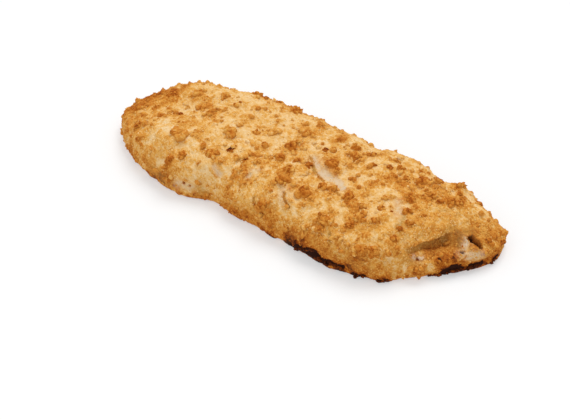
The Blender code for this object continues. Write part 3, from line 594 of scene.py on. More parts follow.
def skin_points():
    """The bare crust: columns by rings of (x, y, z), over the top, round and underneath."""
    foot, heading = spine_columns()
    dx, dy = np.cos(heading)[:, None], np.sin(heading)[:, None]
    outline = smooth_line(OUTLINE, closed=True)
    reach = reach_to(np.vstack([outline, outline[:1]]), foot, heading)
    out, up = section()
    away = reach[:, None] * out
    top = crown(foot[:, None] + dx * away, SPINE_Y + dy * away)
    height = WIDEST_LEVEL + up * (top - WIDEST_LEVEL)

    degrees = np.degrees(heading)
    at_cut = foot > SPINE_HALF - SMALLEST
    slanted = degrees[:, None] + FOLD_SLANT * (ring_shares() - FOLD_SLANT_FROM)
    folded = ease(FOLD_FROM, FOLD_FULL, degrees)[:, None] * ease(FOLD_ENDS, FOLD_FADES, slanted)
    folded = np.where(at_cut[:, None], folded, 0.0)
    flap = reach_to(smooth_line(FLAP_EDGE, closed=False), foot, heading)
    flap = np.where(at_cut & (flap > 0), np.minimum(flap, reach - LIP_LEAST), reach - LIP_LEAST)
    depth = HOLLOW_DEPTH * ease(HOLLOW_FROM, HOLLOW_FULL, degrees)
    depth = depth * ease(HOLLOW_ENDS, HOLLOW_FADES, degrees)
    back = flap - FLAP_TOP_BEHIND
    flap_top = crown(foot + np.cos(heading) * back, SPINE_Y + np.sin(heading) * back)
    flap_top = np.maximum(flap_top, FLAP_HEIGHT)
    folds = cut_section(reach, flap, crown(foot, 0 * foot + SPINE_Y), flap_top, depth)
    away = away * (1 - folded) + folds[..., 0] * folded
    height = height * (1 - folded) + folds[..., 1] * folded

    turn = np.arange(1, EDGE_RINGS + 1) / EDGE_RINGS * math.pi / 2
    edge = reach[:, None] - EDGE_INSET * (1 - np.cos(turn))
    edge_height = np.broadcast_to(WIDEST_LEVEL * (1 - np.sin(turn)), edge.shape)
    under = edge[:, -1:] * np.linspace(1.0, 0.0, UNDER_RINGS + 1)[1:]
    away = np.concatenate([away, edge, under], axis=1)
    height = np.concatenate([height, edge_height, 0.0 * under], axis=1)
    return np.stack([foot[:, None] + dx * away, SPINE_Y + dy * away, height], -1)


def skin_normals(points):
    """Outward unit normals from the steps to the next column and the next ring."""
    across = np.roll(points, -1, axis=0) - np.roll(points, 1, axis=0)
    down = np.gradient(points, axis=1)
    normal = np.cross(down, across)
    normal[:, 0] = (0.0, 0.0, 1.0)
    normal[:, -1] = (0.0, 0.0, -1.0)
    return normal / np.linalg.norm(normal, axis=2, keepdims=True)


# --- noise and distances --------------------------------------------------------------
def lattice_value(cell, seed):
    """A number from 0 to 1 for each whole-number cell, mixed from its three indices."""
    x, y, z = (cell[..., axis].astype(np.int64) for axis in range(3))
    mixed = (x * 374761393 + y * 668265263 + z * 2147483647 + seed * 1274126177) & 0xFFFFFFFF
    mixed = ((mixed ^ (mixed >> 13)) * 1274126177) & 0xFFFFFFFF
    mixed = ((mixed ^ (mixed >> 16)) * 2246822519) & 0xFFFFFFFF
    return ((mixed ^ (mixed >> 15)) & 0xFFFFFF) / float(0xFFFFFF)


def value_noise(points, cell, height, seed):
    """Smooth noise from -height to height: lattice values blended over each cell."""
    place = points / cell
    corner = np.floor(place)
    part = place - corner
    part = part**3 * (part * (part * 6 - 15) + 10)
    total = 0.0
    for step in np.ndindex(2, 2, 2):
        share = np.where(step, part, 1 - part).prod(axis=-1)
        total = total + share * lattice_value(corner + step, seed)
    return height * (2 * total - 1)


def shifted(points, cell, distance, seed):
    """The points moved by noise along each axis, which makes round bumps uneven."""
    moves = [value_noise(points, cell, distance, seed + axis) for axis in range(3)]
    return points + np.stack(moves, -1)


def bumps(points, cell, share, seed):
    """Round bumps, one in some of the cells: each point's height in its highest bump,
    1 less the squared distance over the squared radius, and that bump's own draw."""
    place = points / cell
    corner = np.floor(place)
    height, own = np.zeros(points.shape[:-1]), np.zeros(points.shape[:-1])
    for step in np.ndindex(3, 3, 3):
        near = corner + np.array(step) - 1
        middle = near + np.stack([lattice_value(near, seed + axis) for axis in range(3)], -1)
        radius = varied(BUMP_RADII, lattice_value(near, seed + 3))
        rise = 1 - ((place - middle) ** 2).sum(-1) / radius**2
        rise = np.where(lattice_value(near, seed + 4) < share, rise, 0.0)
        own = np.where(rise > height, lattice_value(near, seed + 5), own)
        height = np.maximum(height, rise)
    return height, own


def seats(corners, places):
    """The number of the crust's corner nearest to each plan place, on its top side."""
    top = np.nonzero(corners[:, 2] > SEAT_ABOVE)[0]
    places = np.asarray(places, float)
    away = np.hypot(*(corners[top, axis][None] - places[:, axis][:, None] for axis in (0, 1)))
    return top[np.argmin(away - SEAT_LEANS_UP * corners[top, 2][None], axis=1)]


def stepped(corners, line):
    """Places every LINE_STEP along a line of the crust."""
    line = np.array(line, float)
    if line.shape[1] == 2:
        line = corners[seats(corners, line)]
    length = np.concatenate([[0.0], np.cumsum(np.linalg.norm(np.diff(line, axis=0), axis=1))])
    at = np.linspace(0.0, length[-1], 2 + int(length[-1] / LINE_STEP))
    return np.stack([np.interp(at, length, axis) for axis in line.T], -1)


def squared_distances(points, places):
    """The squared distance from every point to every place."""
    squared = (points**2).sum(1)[:, None] + (places**2).sum(1)[None] - 2 * points @ places.T
    return np.maximum(squared, 0.0)


def close_to(points, places, radius):
    """1 at the places, falling off as the Gaussian of the distance over the radius."""
    return np.exp(-squared_distances(points, places).min(axis=1) / radius**2)


# --- meshes -------------------------------------------------------------------
def to_frame(points):
    """Plan millimetres to the frame's metres."""
    return (np.asarray(points, float) - np.array([*CENTRE, 0.0])) * MM


def whole_faces(faces):
    """Which triangles have three different corners."""
    return (faces != np.roll(faces, 1, axis=1)).all(axis=1)


def mesh_object(name, corners, faces, tiles, marks, material):
    """A smooth mesh of triangles: corners in plan millimetres, three corner numbers a
    face, each face corner's place on the finish's map, and named values a corner."""
    mesh = bpy.data.meshes.new(name)
    mesh.vertices.add(len(corners))
    mesh.vertices.foreach_set("co", to_frame(corners).astype(np.float32).ravel())
    mesh.loops.add(faces.size)
    mesh.loops.foreach_set("vertex_index", faces.astype(np.int32).ravel())
    mesh.polygons.add(len(faces))
    mesh.polygons.foreach_set("loop_start", np.arange(0, faces.size, 3, dtype=np.int32))
    mesh.polygons.foreach_set("use_smooth", np.ones(len(faces), dtype=bool))
    mesh.update(calc_edges=True)
    flat = mesh.uv_layers.new(name="OFBake")
    flat.uv.foreach_set("vector", tiles.astype(np.float32).ravel())
    for mark, values in marks.items():
        layer = mesh.attributes.new(mark, "FLOAT", "POINT")
        layer.data.foreach_set("value", np.asarray(values, np.float32).ravel())
    mesh.materials.append(material)
    obj = bpy.data.objects.new(name, mesh)
    bpy.context.scene.collection.objects.link(obj)
    return obj


# --- the crust ----------------------------------------------------------------
def crust_grid():
    """Corner numbers by column and ring. The spine's corners, above and underneath, are
    shared by the columns that start there."""
    foot, _ = spine_columns()
    columns, rings = len(foot), UPPER_RINGS + 1 + EDGE_RINGS + UNDER_RINGS
    spine = np.rint((SPINE_HALF - foot) * SIDE_COLUMNS / (2 * SPINE_HALF)).astype(int)
    inner = (rings - 2) * columns
    grid = np.empty((columns, rings), int)
    grid[:, 0] = spine
    grid[:, 1:-1] = (SIDE_COLUMNS + 1) + np.arange(inner).reshape(columns, rings - 2)
    grid[:, -1] = (SIDE_COLUMNS + 1) + inner + spine
    return grid


def crust_faces(grid):
    """Triangles of the crust's grid and their corners' places on the finish's map."""
    columns, rings = grid.shape
    column, ring = np.meshgrid(np.arange(columns), np.arange(rings - 1), indexing="ij")
    square = np.array([[0, 0], [0, 1], [1, 1], [0, 0], [1, 1], [1, 0]])
    at_column = column[..., None] + square[:, 0]
    at_ring = ring[..., None] + square[:, 1]
    faces = grid[at_column % columns, at_ring].reshape(-1, 3)
    per_strip = columns // MAP_STRIPS**2
    strip = column // per_strip
    share = np.stack([at_column / per_strip - strip[..., None], at_ring / (rings - 1)], -1)
    corner = np.stack([strip % MAP_STRIPS, strip // MAP_STRIPS], -1)[:, :, None]
    tiles = (corner + MAP_MARGIN + share * (1 - 2 * MAP_MARGIN)) / MAP_STRIPS
    tiles = tiles.reshape(-1, 3, 2)
    whole = whole_faces(faces)
    return faces[whole], tiles[whole]


def browned_bumps(points, kind, layout):
    """Height, rise and toasting of one kind of round bumps. The rise goes with the root
    of the height, and the toasting with the bump's own draw towards its top."""
    (cell, share, seed), rise, toast = kind
    height, own = bumps(points, cell, share, seed)
    tone = own * ease(*BUMPS_BROWN_FROM, layout)
    rise = rise * np.sqrt(height) * varied(BUMP_RISES, own)
    return height, rise, toast * tone * ease(*BUMP_TOPS, height)


def breading(points):
    """Rise, toasting and clods' height by rule: swells and lumps, golden patches where
    layered noise passes a level, browned bumps of three sizes, a browned foot and underside."""
    x, y, z = points.T
    uneven = shifted(points, *UNEVENNESS)
    layout = PATCH_BASE + sum(hill(x, y, *change) for change in PATCH_CHANGES)
    golden = sum(value_noise(uneven, *noise) for noise in PATCH_NOISE)
    golden = ease(*PATCH_LEVELS, golden + value_noise(points, *PATCH_GRIT) + layout)
    rise = (value_noise(points, *SWELLS) + value_noise(points, *LUMPS)) - RELIEF_MEAN
    rise = rise * ease(0.0, SWELLS_FADE_BELOW, z)
    finer = value_noise(points, *KNOBBLES) + value_noise(points, *GRIT) + PATCH_RISE * golden
    toast = TOAST_CREAM + TOAST_PATCH * golden
    for kind, places in ((BLISTERS, uneven), (GRAINS, points), (CLODS, uneven)):
        height, more_rise, more_toast = browned_bumps(places, kind, layout)
        finer, toast = finer + more_rise, toast + more_toast
    clods = height  # of the last kind
    level = z + value_noise(points, *FOOT_WAVES)
    toast = toast + (FOOT_TOAST + FOOT_CLODS * clods) * ease(*FOOT_LEVELS, level)
    toast = toast + UNDERSIDE_TOAST * ease(*UNDERSIDE_LEVELS, z)
    return rise + finer, toast, clods


def burnt_toast(points):
    """How burnt the crust is near the foot's burnt lines, with an uneven edge, and the
    toasting of the char and of the browned crust round it."""
    char, scorch = np.zeros(len(points)), np.zeros(len(points))
    for line, radius in CHAR_LINES:
        places = stepped(points, line)
        char = np.maximum(char, close_to(points, places, radius))
        scorch = np.maximum(scorch, close_to(points, places, radius * SCORCH_REACH))
    uneven = sum(value_noise(points, *noise) for noise in BURNT_NOISE)
    char = ease(*CHAR_LEVELS, char + uneven * ease(*CHAR_UNEVEN, char))
    scorch = scorch + SCORCH_WAVES * uneven * ease(*SCORCH_UNEVEN, scorch)
    scorch = ease(*SCORCH_LEVELS, scorch)
    return np.maximum(char, scorch), CHAR_TOAST * char + SCORCH_TOAST * scorch


def marked(points, uneven, feature):
    """A feature's share of every corner, uneven at its edge, and level inside it where
    the mark is sharp."""
    share = close_to(points, stepped(points, feature.line), feature.radius)
    share = np.minimum(share * (1 + uneven), 1.0)
    return ease(*SHARP_EDGE, share) if feature.sharp else share


def with_features(points, rise, toast):
    """The relief and toasting with every feature's added, how pale the crust is and how
    olive, by tint and by painted shade, where a sharp mark covers what was laid before
    it, and how bare it is."""
    uneven = value_noise(points, *MARK_WAVES)
    shares = [marked(points, uneven, feature) for feature in FEATURES]
    bare = np.max([feature.bare * share for feature, share in zip(FEATURES, shares)], axis=0)
    toast = toast + BARE_EVENS * bare * (BARE_TOAST - toast)
    pale, olive_tint_and_shade = np.zeros(len(points)), np.zeros(len(points))
    for feature, share in zip(FEATURES, shares):
        rise = rise + feature.rise * share
        toast = toast + feature.toast * share
        pale = np.maximum(pale * (1 - feature.sharp * share), feature.pale * share)
        olive_tint_and_shade = np.maximum(olive_tint_and_shade * (1 - feature.sharp * share), feature.olive_tint_and_shade * share)
    return rise, toast, pale, olive_tint_and_shade, bare


def under_crumbs(points):
    """Rise and toasting of the crust under and round the large crumbs: Gaussians of the
    distance over a share of each crumb's size."""
    crumbs = np.array(LARGE_CRUMBS)
    size = crumbs[:, 2:4].mean(axis=1)
    squared = squared_distances(points, points[seats(points, crumbs[:, :2])])
    mound = np.exp(-squared / (MOUND_RADIUS * size) ** 2) * MOUND_RISE * size
    halo = np.exp(-squared / (HALO_RADIUS * size) ** 2) * HALO_TOAST * (crumbs[:, 4] - HALO_FROM)
    return mound.max(axis=1), halo.max(axis=1)


class Skin(NamedTuple):
    """The dressed crust: corners, their outward directions, values a corner, how bare it
    is and how high its clods stand there."""

    corners: np.ndarray
    upright: np.ndarray
    marks: dict
    bare: np.ndarray
    clods: np.ndarray


def dressed_skin(grid):
    """The bare skin moved outwards by the relief of the breading, of the photograph's
    marks and of the mounds under the large crumbs, which fades out at the underside."""
    bare_skin = skin_points()
    normals = skin_normals(bare_skin)
    first = np.empty(grid.max() + 1, int)
    first[grid.ravel()[::-1]] = np.arange(grid.size)[::-1]
    points, upright = bare_skin.reshape(-1, 3)[first], normals.reshape(-1, 3)[first]
    rise, toast, clods = breading(points)
    rise, toast, pale, olive_tint_and_shade, bare = with_features(points, rise, toast)
    mounds, halos = under_crumbs(points)
    rise = (rise + mounds) * ease(0.0, RELIEF_FADES_BELOW, points[:, 2])
    burnt, more_toast = burnt_toast(points)
    toast = toast + halos + more_toast
    marks = {"toast": toast, "pale": pale * (1 - burnt), "olive_tint_and_shade": olive_tint_and_shade * (1 - burnt)}
    return Skin(points + upright * rise[:, None], upright, marks, bare, clods)


# --- crumbs -----------------------------------------------------------------------
def ball(around, rows):
    """Directions of a ball's corners, from its top pole by rows to its bottom pole,
    its triangles, and their corners' shares of a map tile."""
    turn = np.arange(around) * 2 * math.pi / around
    fall = np.arange(1, rows + 1) * math.pi / (rows + 1)
    flat = np.sin(fall)[:, None] * np.stack([np.cos(turn), np.sin(turn)], 0)[:, None]
    level = np.broadcast_to(np.cos(fall)[:, None], (rows, around))
    directions = np.stack([flat[0], flat[1], level], -1).reshape(-1, 3)
    directions = np.vstack([[0.0, 0.0, 1.0], directions, [0.0, 0.0, -1.0]])
    grid = np.empty((rows + 2, around + 1), int)
    grid[1:-1, :-1] = 1 + np.arange(rows * around).reshape(rows, around)
    grid[1:-1, -1] = grid[1:-1, 0]
    grid[0], grid[-1] = 0, rows * around + 1
    row, column = np.meshgrid(np.arange(rows + 1), np.arange(around), indexing="ij")
    square = np.array([[0, 0], [1, 0], [1, 1], [0, 0], [1, 1], [0, 1]])
    at_row = row[..., None] + square[:, 0]
    at_column = column[..., None] + square[:, 1]
    faces = grid[at_row, at_column].reshape(-1, 3)
    tiles = np.stack([at_column / around, at_row / (rows + 1)], -1).reshape(-1, 3, 2)
    whole = whole_faces(faces)
    return directions, faces[whole], tiles[whole]


def draws(count, many, seed):
    """Numbers from 0 to 1, many for each of count things, the same in every run."""
    row, column = np.meshgrid(np.arange(count), np.arange(many), indexing="ij")
    return lattice_value(np.stack([row, column, 0 * row], -1), seed)


def many_sided(directions, count, seed):
    """Radii of rounded many-sided solids along the directions, one row a solid: the sum
    over its planes of (cosine / distance) to a power, to the power's inverse."""
    draw = draws(count, FACE_PLANES * 3, seed).reshape(count, FACE_PLANES, 3)
    level = 2 * draw[..., 0] - 1
    angle = 2 * math.pi * (draw[..., 1] + np.arange(FACE_PLANES) / FACE_PLANES)
    flat = np.sqrt(1 - level**2)
    plane = np.stack([flat * np.cos(angle), flat * np.sin(angle), level], -1)
    plane = np.concatenate([plane, -plane], 1)
    distance = varied(PLANE_DISTANCES, np.concatenate([draw[..., 2], draw[..., 0]], 1))
    cosine = np.maximum(np.einsum("cpk,dk->cpd", plane, directions), 0.0)
    return ((cosine / distance[..., None]) ** PLANE_POWER).sum(1) ** (-1 / PLANE_POWER)


def crumb_axes(upright, turns):
    """Each crumb's length, width and height directions: turned in the plan, set on the skin."""
    ahead = np.stack([np.cos(turns), np.sin(turns), 0 * turns], -1)
    ahead = ahead - upright * (ahead * upright).sum(1, keepdims=True)
    ahead = ahead / np.maximum(np.linalg.norm(ahead, axis=1, keepdims=True), SMALLEST)
    return np.stack([ahead, np.cross(upright, ahead), upright], 1)


def crumb_piece(kind, places, upright, sizes, turns, toast, material):
    """One piece of many angular crumbs on the skin. A corner lies along its direction in
    the ball at the many-sided solid's radius times half the crumb's size, and is moved
    outwards by lumps and noise. Seams between the lumps are darker than their tips, as
    painted shade in the seams and painted light on the tips, and the skirt is no more
    toasted than the kind says."""
    directions, faces, tiles = ball(*kind.shape)
    count, corners = len(places), len(directions)
    radius = many_sided(directions, count, kind.seed)
    axes = crumb_axes(upright, turns)
    local = directions[None] * radius[..., None] * (sizes / 2)[:, None]
    middle = places - upright * (sizes[:, 2] * kind.sunk)[:, None]
    points = middle[:, None] + np.einsum("cdk,ckj->cdj", local, axes)
    outward = np.einsum("dk,ckj->cdj", directions, axes)
    cell, height = kind.lumps
    lump, own = bumps(points, cell, LUMPY_SHARE, kind.seed + 1)
    finer = value_noise(points, cell / 2, height / 2, kind.seed + 2)
    points = points + outward * (height * (np.sqrt(lump) - 0.5) + finer)[..., None]
    points[..., 2] = np.maximum(points[..., 2], LEAST_LEVEL)
    seam_shade, differ = kind.seam_shade_and_spread
    # painted shade in the seams between lumps, painted light on their tips
    shade = toast[:, None] + seam_shade * (0.5 - np.sqrt(lump)) + differ * (own - 0.5)
    top = ease(*SKIRT_LEVELS, directions[None, :, 2] + 0 * radius)
    shade = np.minimum(shade, kind.skirt) * (1 - top) + shade * top
    per_side = math.ceil(math.sqrt(count))
    tile = np.stack([np.arange(count) % per_side, np.arange(count) // per_side], -1)
    spread = tile[:, None, None] + TILE_MARGIN + (1 - 2 * TILE_MARGIN) * tiles[None]
    tiles = (spread / per_side).reshape(-1, 3, 2)
    faces = (faces[None] + corners * np.arange(count)[:, None, None]).reshape(-1, 3)
    marks = {"toast": shade}
    piece = mesh_object(kind.name, points.reshape(-1, 3), faces, tiles, marks, material)
    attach(piece, "root")


def large_crumbs(skin, material):
    """The photograph's large crumbs. Each is a clump: a lobe in its middle, and others in
    a ring round that at a share of its length and width."""
    own = np.repeat(np.array(LARGE_CRUMBS), LOBES_EACH, axis=0)
    lobe = np.tile(np.arange(LOBES_EACH), len(LARGE_CRUMBS))
    draw = draws(len(own), 6, LOBE_DRAWS)
    angle = 2 * math.pi * (lobe / (LOBES_EACH - 1) + LOBE_TURNS * draw[:, 0])
    out = np.where(lobe == 0, 0.0, LOBE_SPREAD * varied(LOBE_REACHES, draw[:, 1]))
    along, across = out * np.cos(angle) * own[:, 2], out * np.sin(angle) * own[:, 3]
    turn = math.radians(CRUMB_TURN)
    x = own[:, 0] + along * math.cos(turn) - across * math.sin(turn)
    y = own[:, 1] + along * math.sin(turn) + across * math.cos(turn)
    crumb_size = own[:, 2:4].mean(axis=1)
    share = varied(LOBE_SIZES, draw[:, 2]) + MIDDLE_LARGER * (lobe == 0)
    size = np.maximum(crumb_size * share, LEAST_LOBE)
    long, wide = size * varied(LOBE_LENGTHS, draw[:, 3]), size * varied(LOBE_WIDTHS, draw[:, 4])
    sizes = np.stack([long, wide, np.minimum(LOBE_HEIGHT * size, MOST_HEIGHT)], -1)
    tone = own[:, 4] + LOBE_TONE + LOBE_TONE_VARIES * (draw[:, 3] - 0.5) + OUTER_TONE * (lobe > 0)
    keep = (lobe == 0) | (crumb_size > varied(CLUMPED_OVER, draw[:, 5]))
    at = seats(skin.corners, np.stack([x, y], -1))[keep]
    places, upright, turns = skin.corners[at], skin.upright[at], 2 * math.pi * draw[keep, 1]
    crumb_piece(LARGE_KIND, places, upright, sizes[keep], turns, tone[keep], material)


def one_per_cell(points, allowed, cell, seed):
    """The numbers of some allowed points, at most one in each cell of space: the first
    in a seeded order."""
    chosen = np.nonzero(allowed)[0]
    box = np.floor(points[chosen] / cell).astype(np.int64)
    order = np.argsort(lattice_value(np.stack([chosen, 0 * chosen, 0 * chosen], -1), seed))
    key = (box[:, 0] * CELLS_A_SIDE + box[:, 1]) * CELLS_A_SIDE + box[:, 2]
    _, first = np.unique(key[order], return_index=True)
    return chosen[order[first]]


def small_crumbs(skin, kind, rule, material):
    """Crumbs spread by rule: one in some of the cells of space, on clods that are high
    enough, fewer where the crust is cream or bare, and none where it is charred. Their
    toasting is a share of the crust's own, with a seeded spread."""
    crust_toast = skin.marks["toast"]
    allowed = (skin.corners[:, 2] > LEAST_SEAT) & (skin.upright[:, 2] > LEAST_UP)
    allowed = allowed & (skin.clods > rule.least_clod) & (crust_toast < CHARRED)
    spots = one_per_cell(skin.corners, allowed, rule.cell, kind.seed)
    draw = draws(len(spots), 6, kind.seed + 5)
    on_cream, on_golden = rule.kept
    chance = on_cream + (on_golden - on_cream) * ease(*CROWDED, crust_toast[spots])
    keep = draw[:, 0] < chance * (1 - ease(*rule.thinned, skin.bare[spots]))
    spots, draw = spots[keep], draw[keep]
    least, most = rule.lengths
    long = least + (most - least) * draw[:, 1] ** 2
    wide, high = long * varied(SMALL_WIDTHS, draw[:, 2]), long * varied(SMALL_HEIGHTS, draw[:, 3])
    sizes = np.stack([long, wide, high], -1)
    toast = rule.follows * crust_toast[spots] + rule.past + rule.varies * (draw[:, 5] - 0.5)
    toast = np.clip(toast, *SMALL_TOASTS)
    places, upright, turns = skin.corners[spots], skin.upright[spots], 2 * math.pi * draw[:, 4]
    crumb_piece(kind, places, upright, sizes, turns, toast, material)


def burnt_flakes(skin, material):
    """Burnt crumbs that stick out along the foot's burnt lines, scattered a little."""
    lines = [stepped(skin.corners, line)[::FLAKE_EVERY] for line, _ in CHAR_LINES]
    places = np.vstack(lines)
    draw = draws(len(places), 6, FLAKE_DRAWS)
    places = places + FLAKE_SCATTER * (draw[:, :3] - 0.5)
    at = np.argmin(squared_distances(places, skin.corners), axis=1)
    pairs = (FLAKE_LENGTHS, FLAKE_WIDTHS, FLAKE_HEIGHTS)
    sizes = np.stack([varied(pair, draw[:, 3 + axis]) for axis, pair in enumerate(pairs)], -1)
    toast, turns = varied(FLAKE_TOASTS, draw[:, 2]), 2 * math.pi * draw[:, 0]
    crumb_piece(BURNT_KIND, skin.corners[at], skin.upright[at], sizes, turns, toast, material)


# --- materials ------------------------------------------------------------------
class Nodes:
    """A node tree with short ways to add nodes and join them."""

    def __init__(self, tree):
        self.tree = tree

    def add(self, kind, **settings):
        node = self.tree.nodes.new(kind)
        for name, value in settings.items():
            setattr(node, name, value)
        return node

    def join(self, output, socket):
        self.tree.links.new(output, socket)

    def feed(self, socket, value):
        """Join an output to the socket, or set the socket's own value."""
        if isinstance(value, bpy.types.NodeSocket):
            self.join(value, socket)
        else:
            socket.default_value = value

    def maths(self, operation, first, second=0.0, third=0.0, clamp=False):
        node = self.add("ShaderNodeMath", operation=operation, use_clamp=clamp)
        for socket, value in zip(node.inputs, (first, second, third)):
            self.feed(socket, value)
        return node.outputs[0]

    def mix(self, share, first, second):
        node = self.add("ShaderNodeMix", data_type="RGBA")
        self.feed(node.inputs[0], share)
        self.feed(node.inputs[6], first)
        self.feed(node.inputs[7], second)
        return node.outputs[2]

    def mark(self, name):
        return self.add("ShaderNodeAttribute", attribute_name=name).outputs["Fac"]

    def noise(self, place, scale, detail):
        node = self.add("ShaderNodeTexNoise")
        self.feed(node.inputs["Vector"], place)
        self.feed(node.inputs["Scale"], scale)
        node.inputs["Detail"].default_value = detail
        node.inputs["Roughness"].default_value = NOISE_ROUGHNESS
        return node.outputs["Fac"]

    def cells(self, place, scale):
        node = self.add("ShaderNodeTexVoronoi")
        self.feed(node.inputs["Vector"], place)
        self.feed(node.inputs["Scale"], scale)
        return node

    def span(self, value, low, high, to_low=0.0, to_high=1.0):
        node = self.add("ShaderNodeMapRange")
        for socket, item in zip(node.inputs, (value, low, high, to_low, to_high)):
            self.feed(socket, item)
        return node.outputs[0]


def new_group(name, inputs, outputs):
    """A shader node group with float, vector or colour sockets by name."""
    tree = bpy.data.node_groups.new(name, "ShaderNodeTree")
    for socket, kind in inputs:
        tree.interface.new_socket(socket, in_out="INPUT", socket_type=kind)
    for socket, kind in outputs:
        tree.interface.new_socket(socket, in_out="OUTPUT", socket_type=kind)
    nodes = Nodes(tree)
    return nodes, nodes.add("NodeGroupInput").outputs, nodes.add("NodeGroupOutput").inputs


def toasted_colour_group():
    """Colour of the breading for its toasting."""
    nodes, given, result = new_group(
        "toasted colour", [("Toast", "NodeSocketFloat")], [("Colour", "NodeSocketColor")]
    )
    ramp = nodes.add("ShaderNodeValToRGB")
    nodes.join(given["Toast"], ramp.inputs["Fac"])
    stops = ramp.color_ramp.elements
    while len(stops) < len(TOAST_COLOURS):
        stops.new(0.5)
    for stop, (at, _) in zip(stops, TOAST_COLOURS):
        stop.position = at
    for stop, (_, colour) in zip(stops, TOAST_COLOURS):
        stop.color = (*colour, 1.0)
    nodes.join(ramp.outputs["Color"], result["Colour"])
    return nodes.tree


def grain_group():
    """Fine grain of dried crumbs: a value round 0 for colour and a height for relief."""
    nodes, given, result = new_group(
        "crumb grain",
        [("Place", "NodeSocketVector"), ("Grains", "NodeSocketFloat")],
        [("Tone", "NodeSocketFloat"), ("Height", "NodeSocketFloat")],
    )
    coarse = nodes.cells(given["Place"], given["Grains"])
    finer = nodes.maths("MULTIPLY", given["Grains"], FINER_GRAINS)
    fine = nodes.noise(given["Place"], finer, 2.0)
    own = nodes.add("ShaderNodeSeparateColor")
    nodes.join(coarse.outputs["Color"], own.inputs[0])
    tone = nodes.maths("SUBTRACT", own.outputs[0], 0.5)
    swing = nodes.maths("SUBTRACT", fine, 0.5)
    tone = nodes.maths("ADD", tone, nodes.maths("MULTIPLY", swing, FINER_TONE))
    nodes.join(tone, result["Tone"])
    height = nodes.maths("SUBTRACT", 1.0, coarse.outputs["Distance"])
    height = nodes.maths("MULTIPLY_ADD", fine, FINER_HEIGHT, height)
    nodes.join(height, result["Height"])
    return nodes.tree


def new_material(name):
    """A material with next to no gloss, its nodes and its shader."""
    material = bpy.data.materials.new(name)
    material.use_nodes = True
    shader = material.node_tree.nodes["Principled BSDF"]
    shader.inputs["Specular IOR Level"].default_value = SPECULAR_LEVEL
    return material, Nodes(material.node_tree), shader


def use_group(nodes, tree, **given):
    """Place a node group with the given inputs."""
    node = nodes.add("ShaderNodeGroup", node_tree=tree)
    for name, value in given.items():
        nodes.feed(node.inputs[name], value)
    return node.outputs


def finish_surface(nodes, shader, colour, grain, roughness, relief):
    """Join the colour, and the grain as roughness and as relief, whose depth in metres
    and strength are given."""
    nodes.join(colour, shader.inputs["Base Color"])
    nodes.join(nodes.span(grain["Tone"], -1.0, 1.0, *roughness), shader.inputs["Roughness"])
    bump = nodes.add("ShaderNodeBump")
    bump.inputs["Distance"].default_value, bump.inputs["Strength"].default_value = relief
    nodes.join(grain["Height"], bump.inputs["Height"])
    nodes.join(bump.outputs["Normal"], shader.inputs["Normal"])


def crust_material(groups):
    """The crust: toasting with grain and mottle, turned pale or olive where marked, the olive
    being partly painted shade.
    """
    material, nodes, shader = new_material("toasted crust")
    place = nodes.add("ShaderNodeTexCoord").outputs["Object"]
    grain = use_group(nodes, groups["grain"], Place=place, Grains=GRAINS_A_METRE)
    mottle = nodes.maths("SUBTRACT", nodes.noise(place, *MOTTLE), 0.5)
    toast = nodes.mark("toast")
    grain_tone = nodes.span(toast, *CREAM_TO_GOLDEN, *GRAIN_TONE)
    mottle_tone = nodes.span(toast, *CREAM_TO_GOLDEN, *MOTTLE_TONE)
    toast = nodes.maths("MULTIPLY_ADD", grain["Tone"], grain_tone, toast)
    toast = nodes.maths("MULTIPLY_ADD", mottle, mottle_tone, toast)
    colour = use_group(nodes, groups["colour"], Toast=toast)["Colour"]
    fine = nodes.span(nodes.noise(place, *MARK_GRAIN), *MARK_GRAIN_SPAN)
    for mark, turned in (("olive_tint_and_shade", OLIVE_TINT_AND_SHADE_COLOUR), ("pale", PALE_COLOUR)):
        share = nodes.maths("MULTIPLY", nodes.mark(mark), fine, clamp=True)
        colour = nodes.mix(share, colour, turned)
    finish_surface(nodes, shader, colour, grain, CRUST_ROUGHNESS, CRUST_RELIEF)
    return material


def crumb_material(name, groups, grains, swing, roughness):
    """Crumbs: their own toasting with a finer grain."""
    material, nodes, shader = new_material(name)
    place = nodes.add("ShaderNodeTexCoord").outputs["Object"]
    grain = use_group(nodes, groups["grain"], Place=place, Grains=grains)
    toast = nodes.maths("MULTIPLY_ADD", grain["Tone"], swing, nodes.mark("toast"))
    colour = use_group(nodes, groups["colour"], Toast=toast)["Colour"]
    finish_surface(nodes, shader, colour, grain, roughness, CRUMB_RELIEF)
    return material


# --- the scene --------------------------------------------------------------------
def build_floor():
    """A large pale square that the fillet lies on, with a little glow in its shadows."""
    half = FLOOR_HALF
    mesh = bpy.data.meshes.new("floor")
    square = [(-half, -half, 0), (half, -half, 0), (half, half, 0), (-half, half, 0)]
    mesh.from_pydata(square, [], [(0, 1, 2, 3)])
    material, _, shader = new_material("pale floor")
    shader.inputs["Base Color"].default_value = (FLOOR_COLOUR, FLOOR_COLOUR, FLOOR_COLOUR, 1.0)
    shader.inputs["Roughness"].default_value = FLOOR_ROUGHNESS
    shader.inputs["Emission Color"].default_value = (1.0, 1.0, 1.0, 1.0)
    shader.inputs["Emission Strength"].default_value = FLOOR_GLOW
    mesh.materials.append(material)
    floor = bpy.data.objects.new("floor", mesh)
    bpy.context.scene.collection.objects.link(floor)


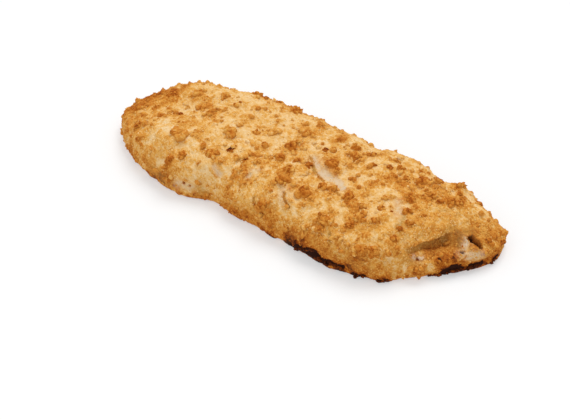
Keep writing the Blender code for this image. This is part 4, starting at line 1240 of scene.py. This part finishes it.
def build_light():
    """White surroundings, a soft key from behind and a weaker fill from the front."""
    world = bpy.data.worlds.new("studio")
    world.use_nodes = True
    nodes = Nodes(world.node_tree)
    background = world.node_tree.nodes["Background"]
    seen = nodes.add("ShaderNodeLightPath").outputs["Is Camera Ray"]
    nodes.join(nodes.span(seen, 0.0, 1.0, SKY_STRENGTH, 1.0), background.inputs["Strength"])
    background.inputs["Color"].default_value = (1.0, 1.0, 1.0, 1.0)
    bpy.context.scene.world = world
    for name, shines_from, strength, spread in SUNS:
        lamp = bpy.data.lights.new(name, "SUN")
        lamp.energy = strength
        lamp.angle = math.radians(spread)
        sun = bpy.data.objects.new(name, lamp)
        sun.matrix_world = aimed(shines_from, (0.0, 0.0, 0.0))
        bpy.context.scene.collection.objects.link(sun)


def aimed(eye, target):
    """A matrix at eye whose -Z axis points at target and whose X axis is level."""
    eye = np.asarray(eye, float)
    back = eye - np.asarray(target, float)
    back = back / np.linalg.norm(back)
    right = np.cross((0.0, 0.0, 1.0), back)
    right = right / np.linalg.norm(right)
    matrix = np.eye(4)
    matrix[:3] = np.stack([right, np.cross(back, right), back, eye], -1)
    return Matrix(matrix.tolist())


def build_camera():
    """The photograph's view: from the front and right, and from above."""
    azimuth, elevation = math.radians(CAMERA_AZIMUTH), math.radians(CAMERA_ELEVATION)
    level, rise = math.cos(elevation), math.sin(elevation)
    back = np.array([math.sin(azimuth) * level, -math.cos(azimuth) * level, rise])
    target = to_frame(CAMERA_TARGET)
    camera = bpy.data.objects.new("camera", bpy.data.cameras.new("camera"))
    camera.data.lens = CAMERA_LENS
    camera.matrix_world = aimed(target + back * CAMERA_DISTANCE * MM, target)
    bpy.context.scene.collection.objects.link(camera)
    bpy.context.scene.camera = camera


def build_fillet():
    """The crust and what sits on it."""
    groups = {"colour": toasted_colour_group(), "grain": grain_group()}
    finishes = {
        name: crumb_material(name, groups, *values) for name, values in CRUMB_FINISHES.items()
    }
    grid = crust_grid()
    skin = dressed_skin(grid)
    faces, tiles = crust_faces(grid)
    crust = mesh_object("crust", skin.corners, faces, tiles, skin.marks, crust_material(groups))
    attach(crust, "root")
    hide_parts("fillet")
    large_crumbs(skin, finishes["toasted crumb"])
    small_crumbs(skin, GOLDEN_KIND, GOLDEN_RULE, finishes["toasted crumb"])
    small_crumbs(skin, FINE_KIND, FINE_RULE, finishes["fine crumb"])
    burnt_flakes(skin, finishes["burnt crumb"])


def main():
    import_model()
    build_floor()
    build_light()
    build_camera()
    bpy.context.scene.view_settings.view_transform = "Standard"
    build_fillet()


main()
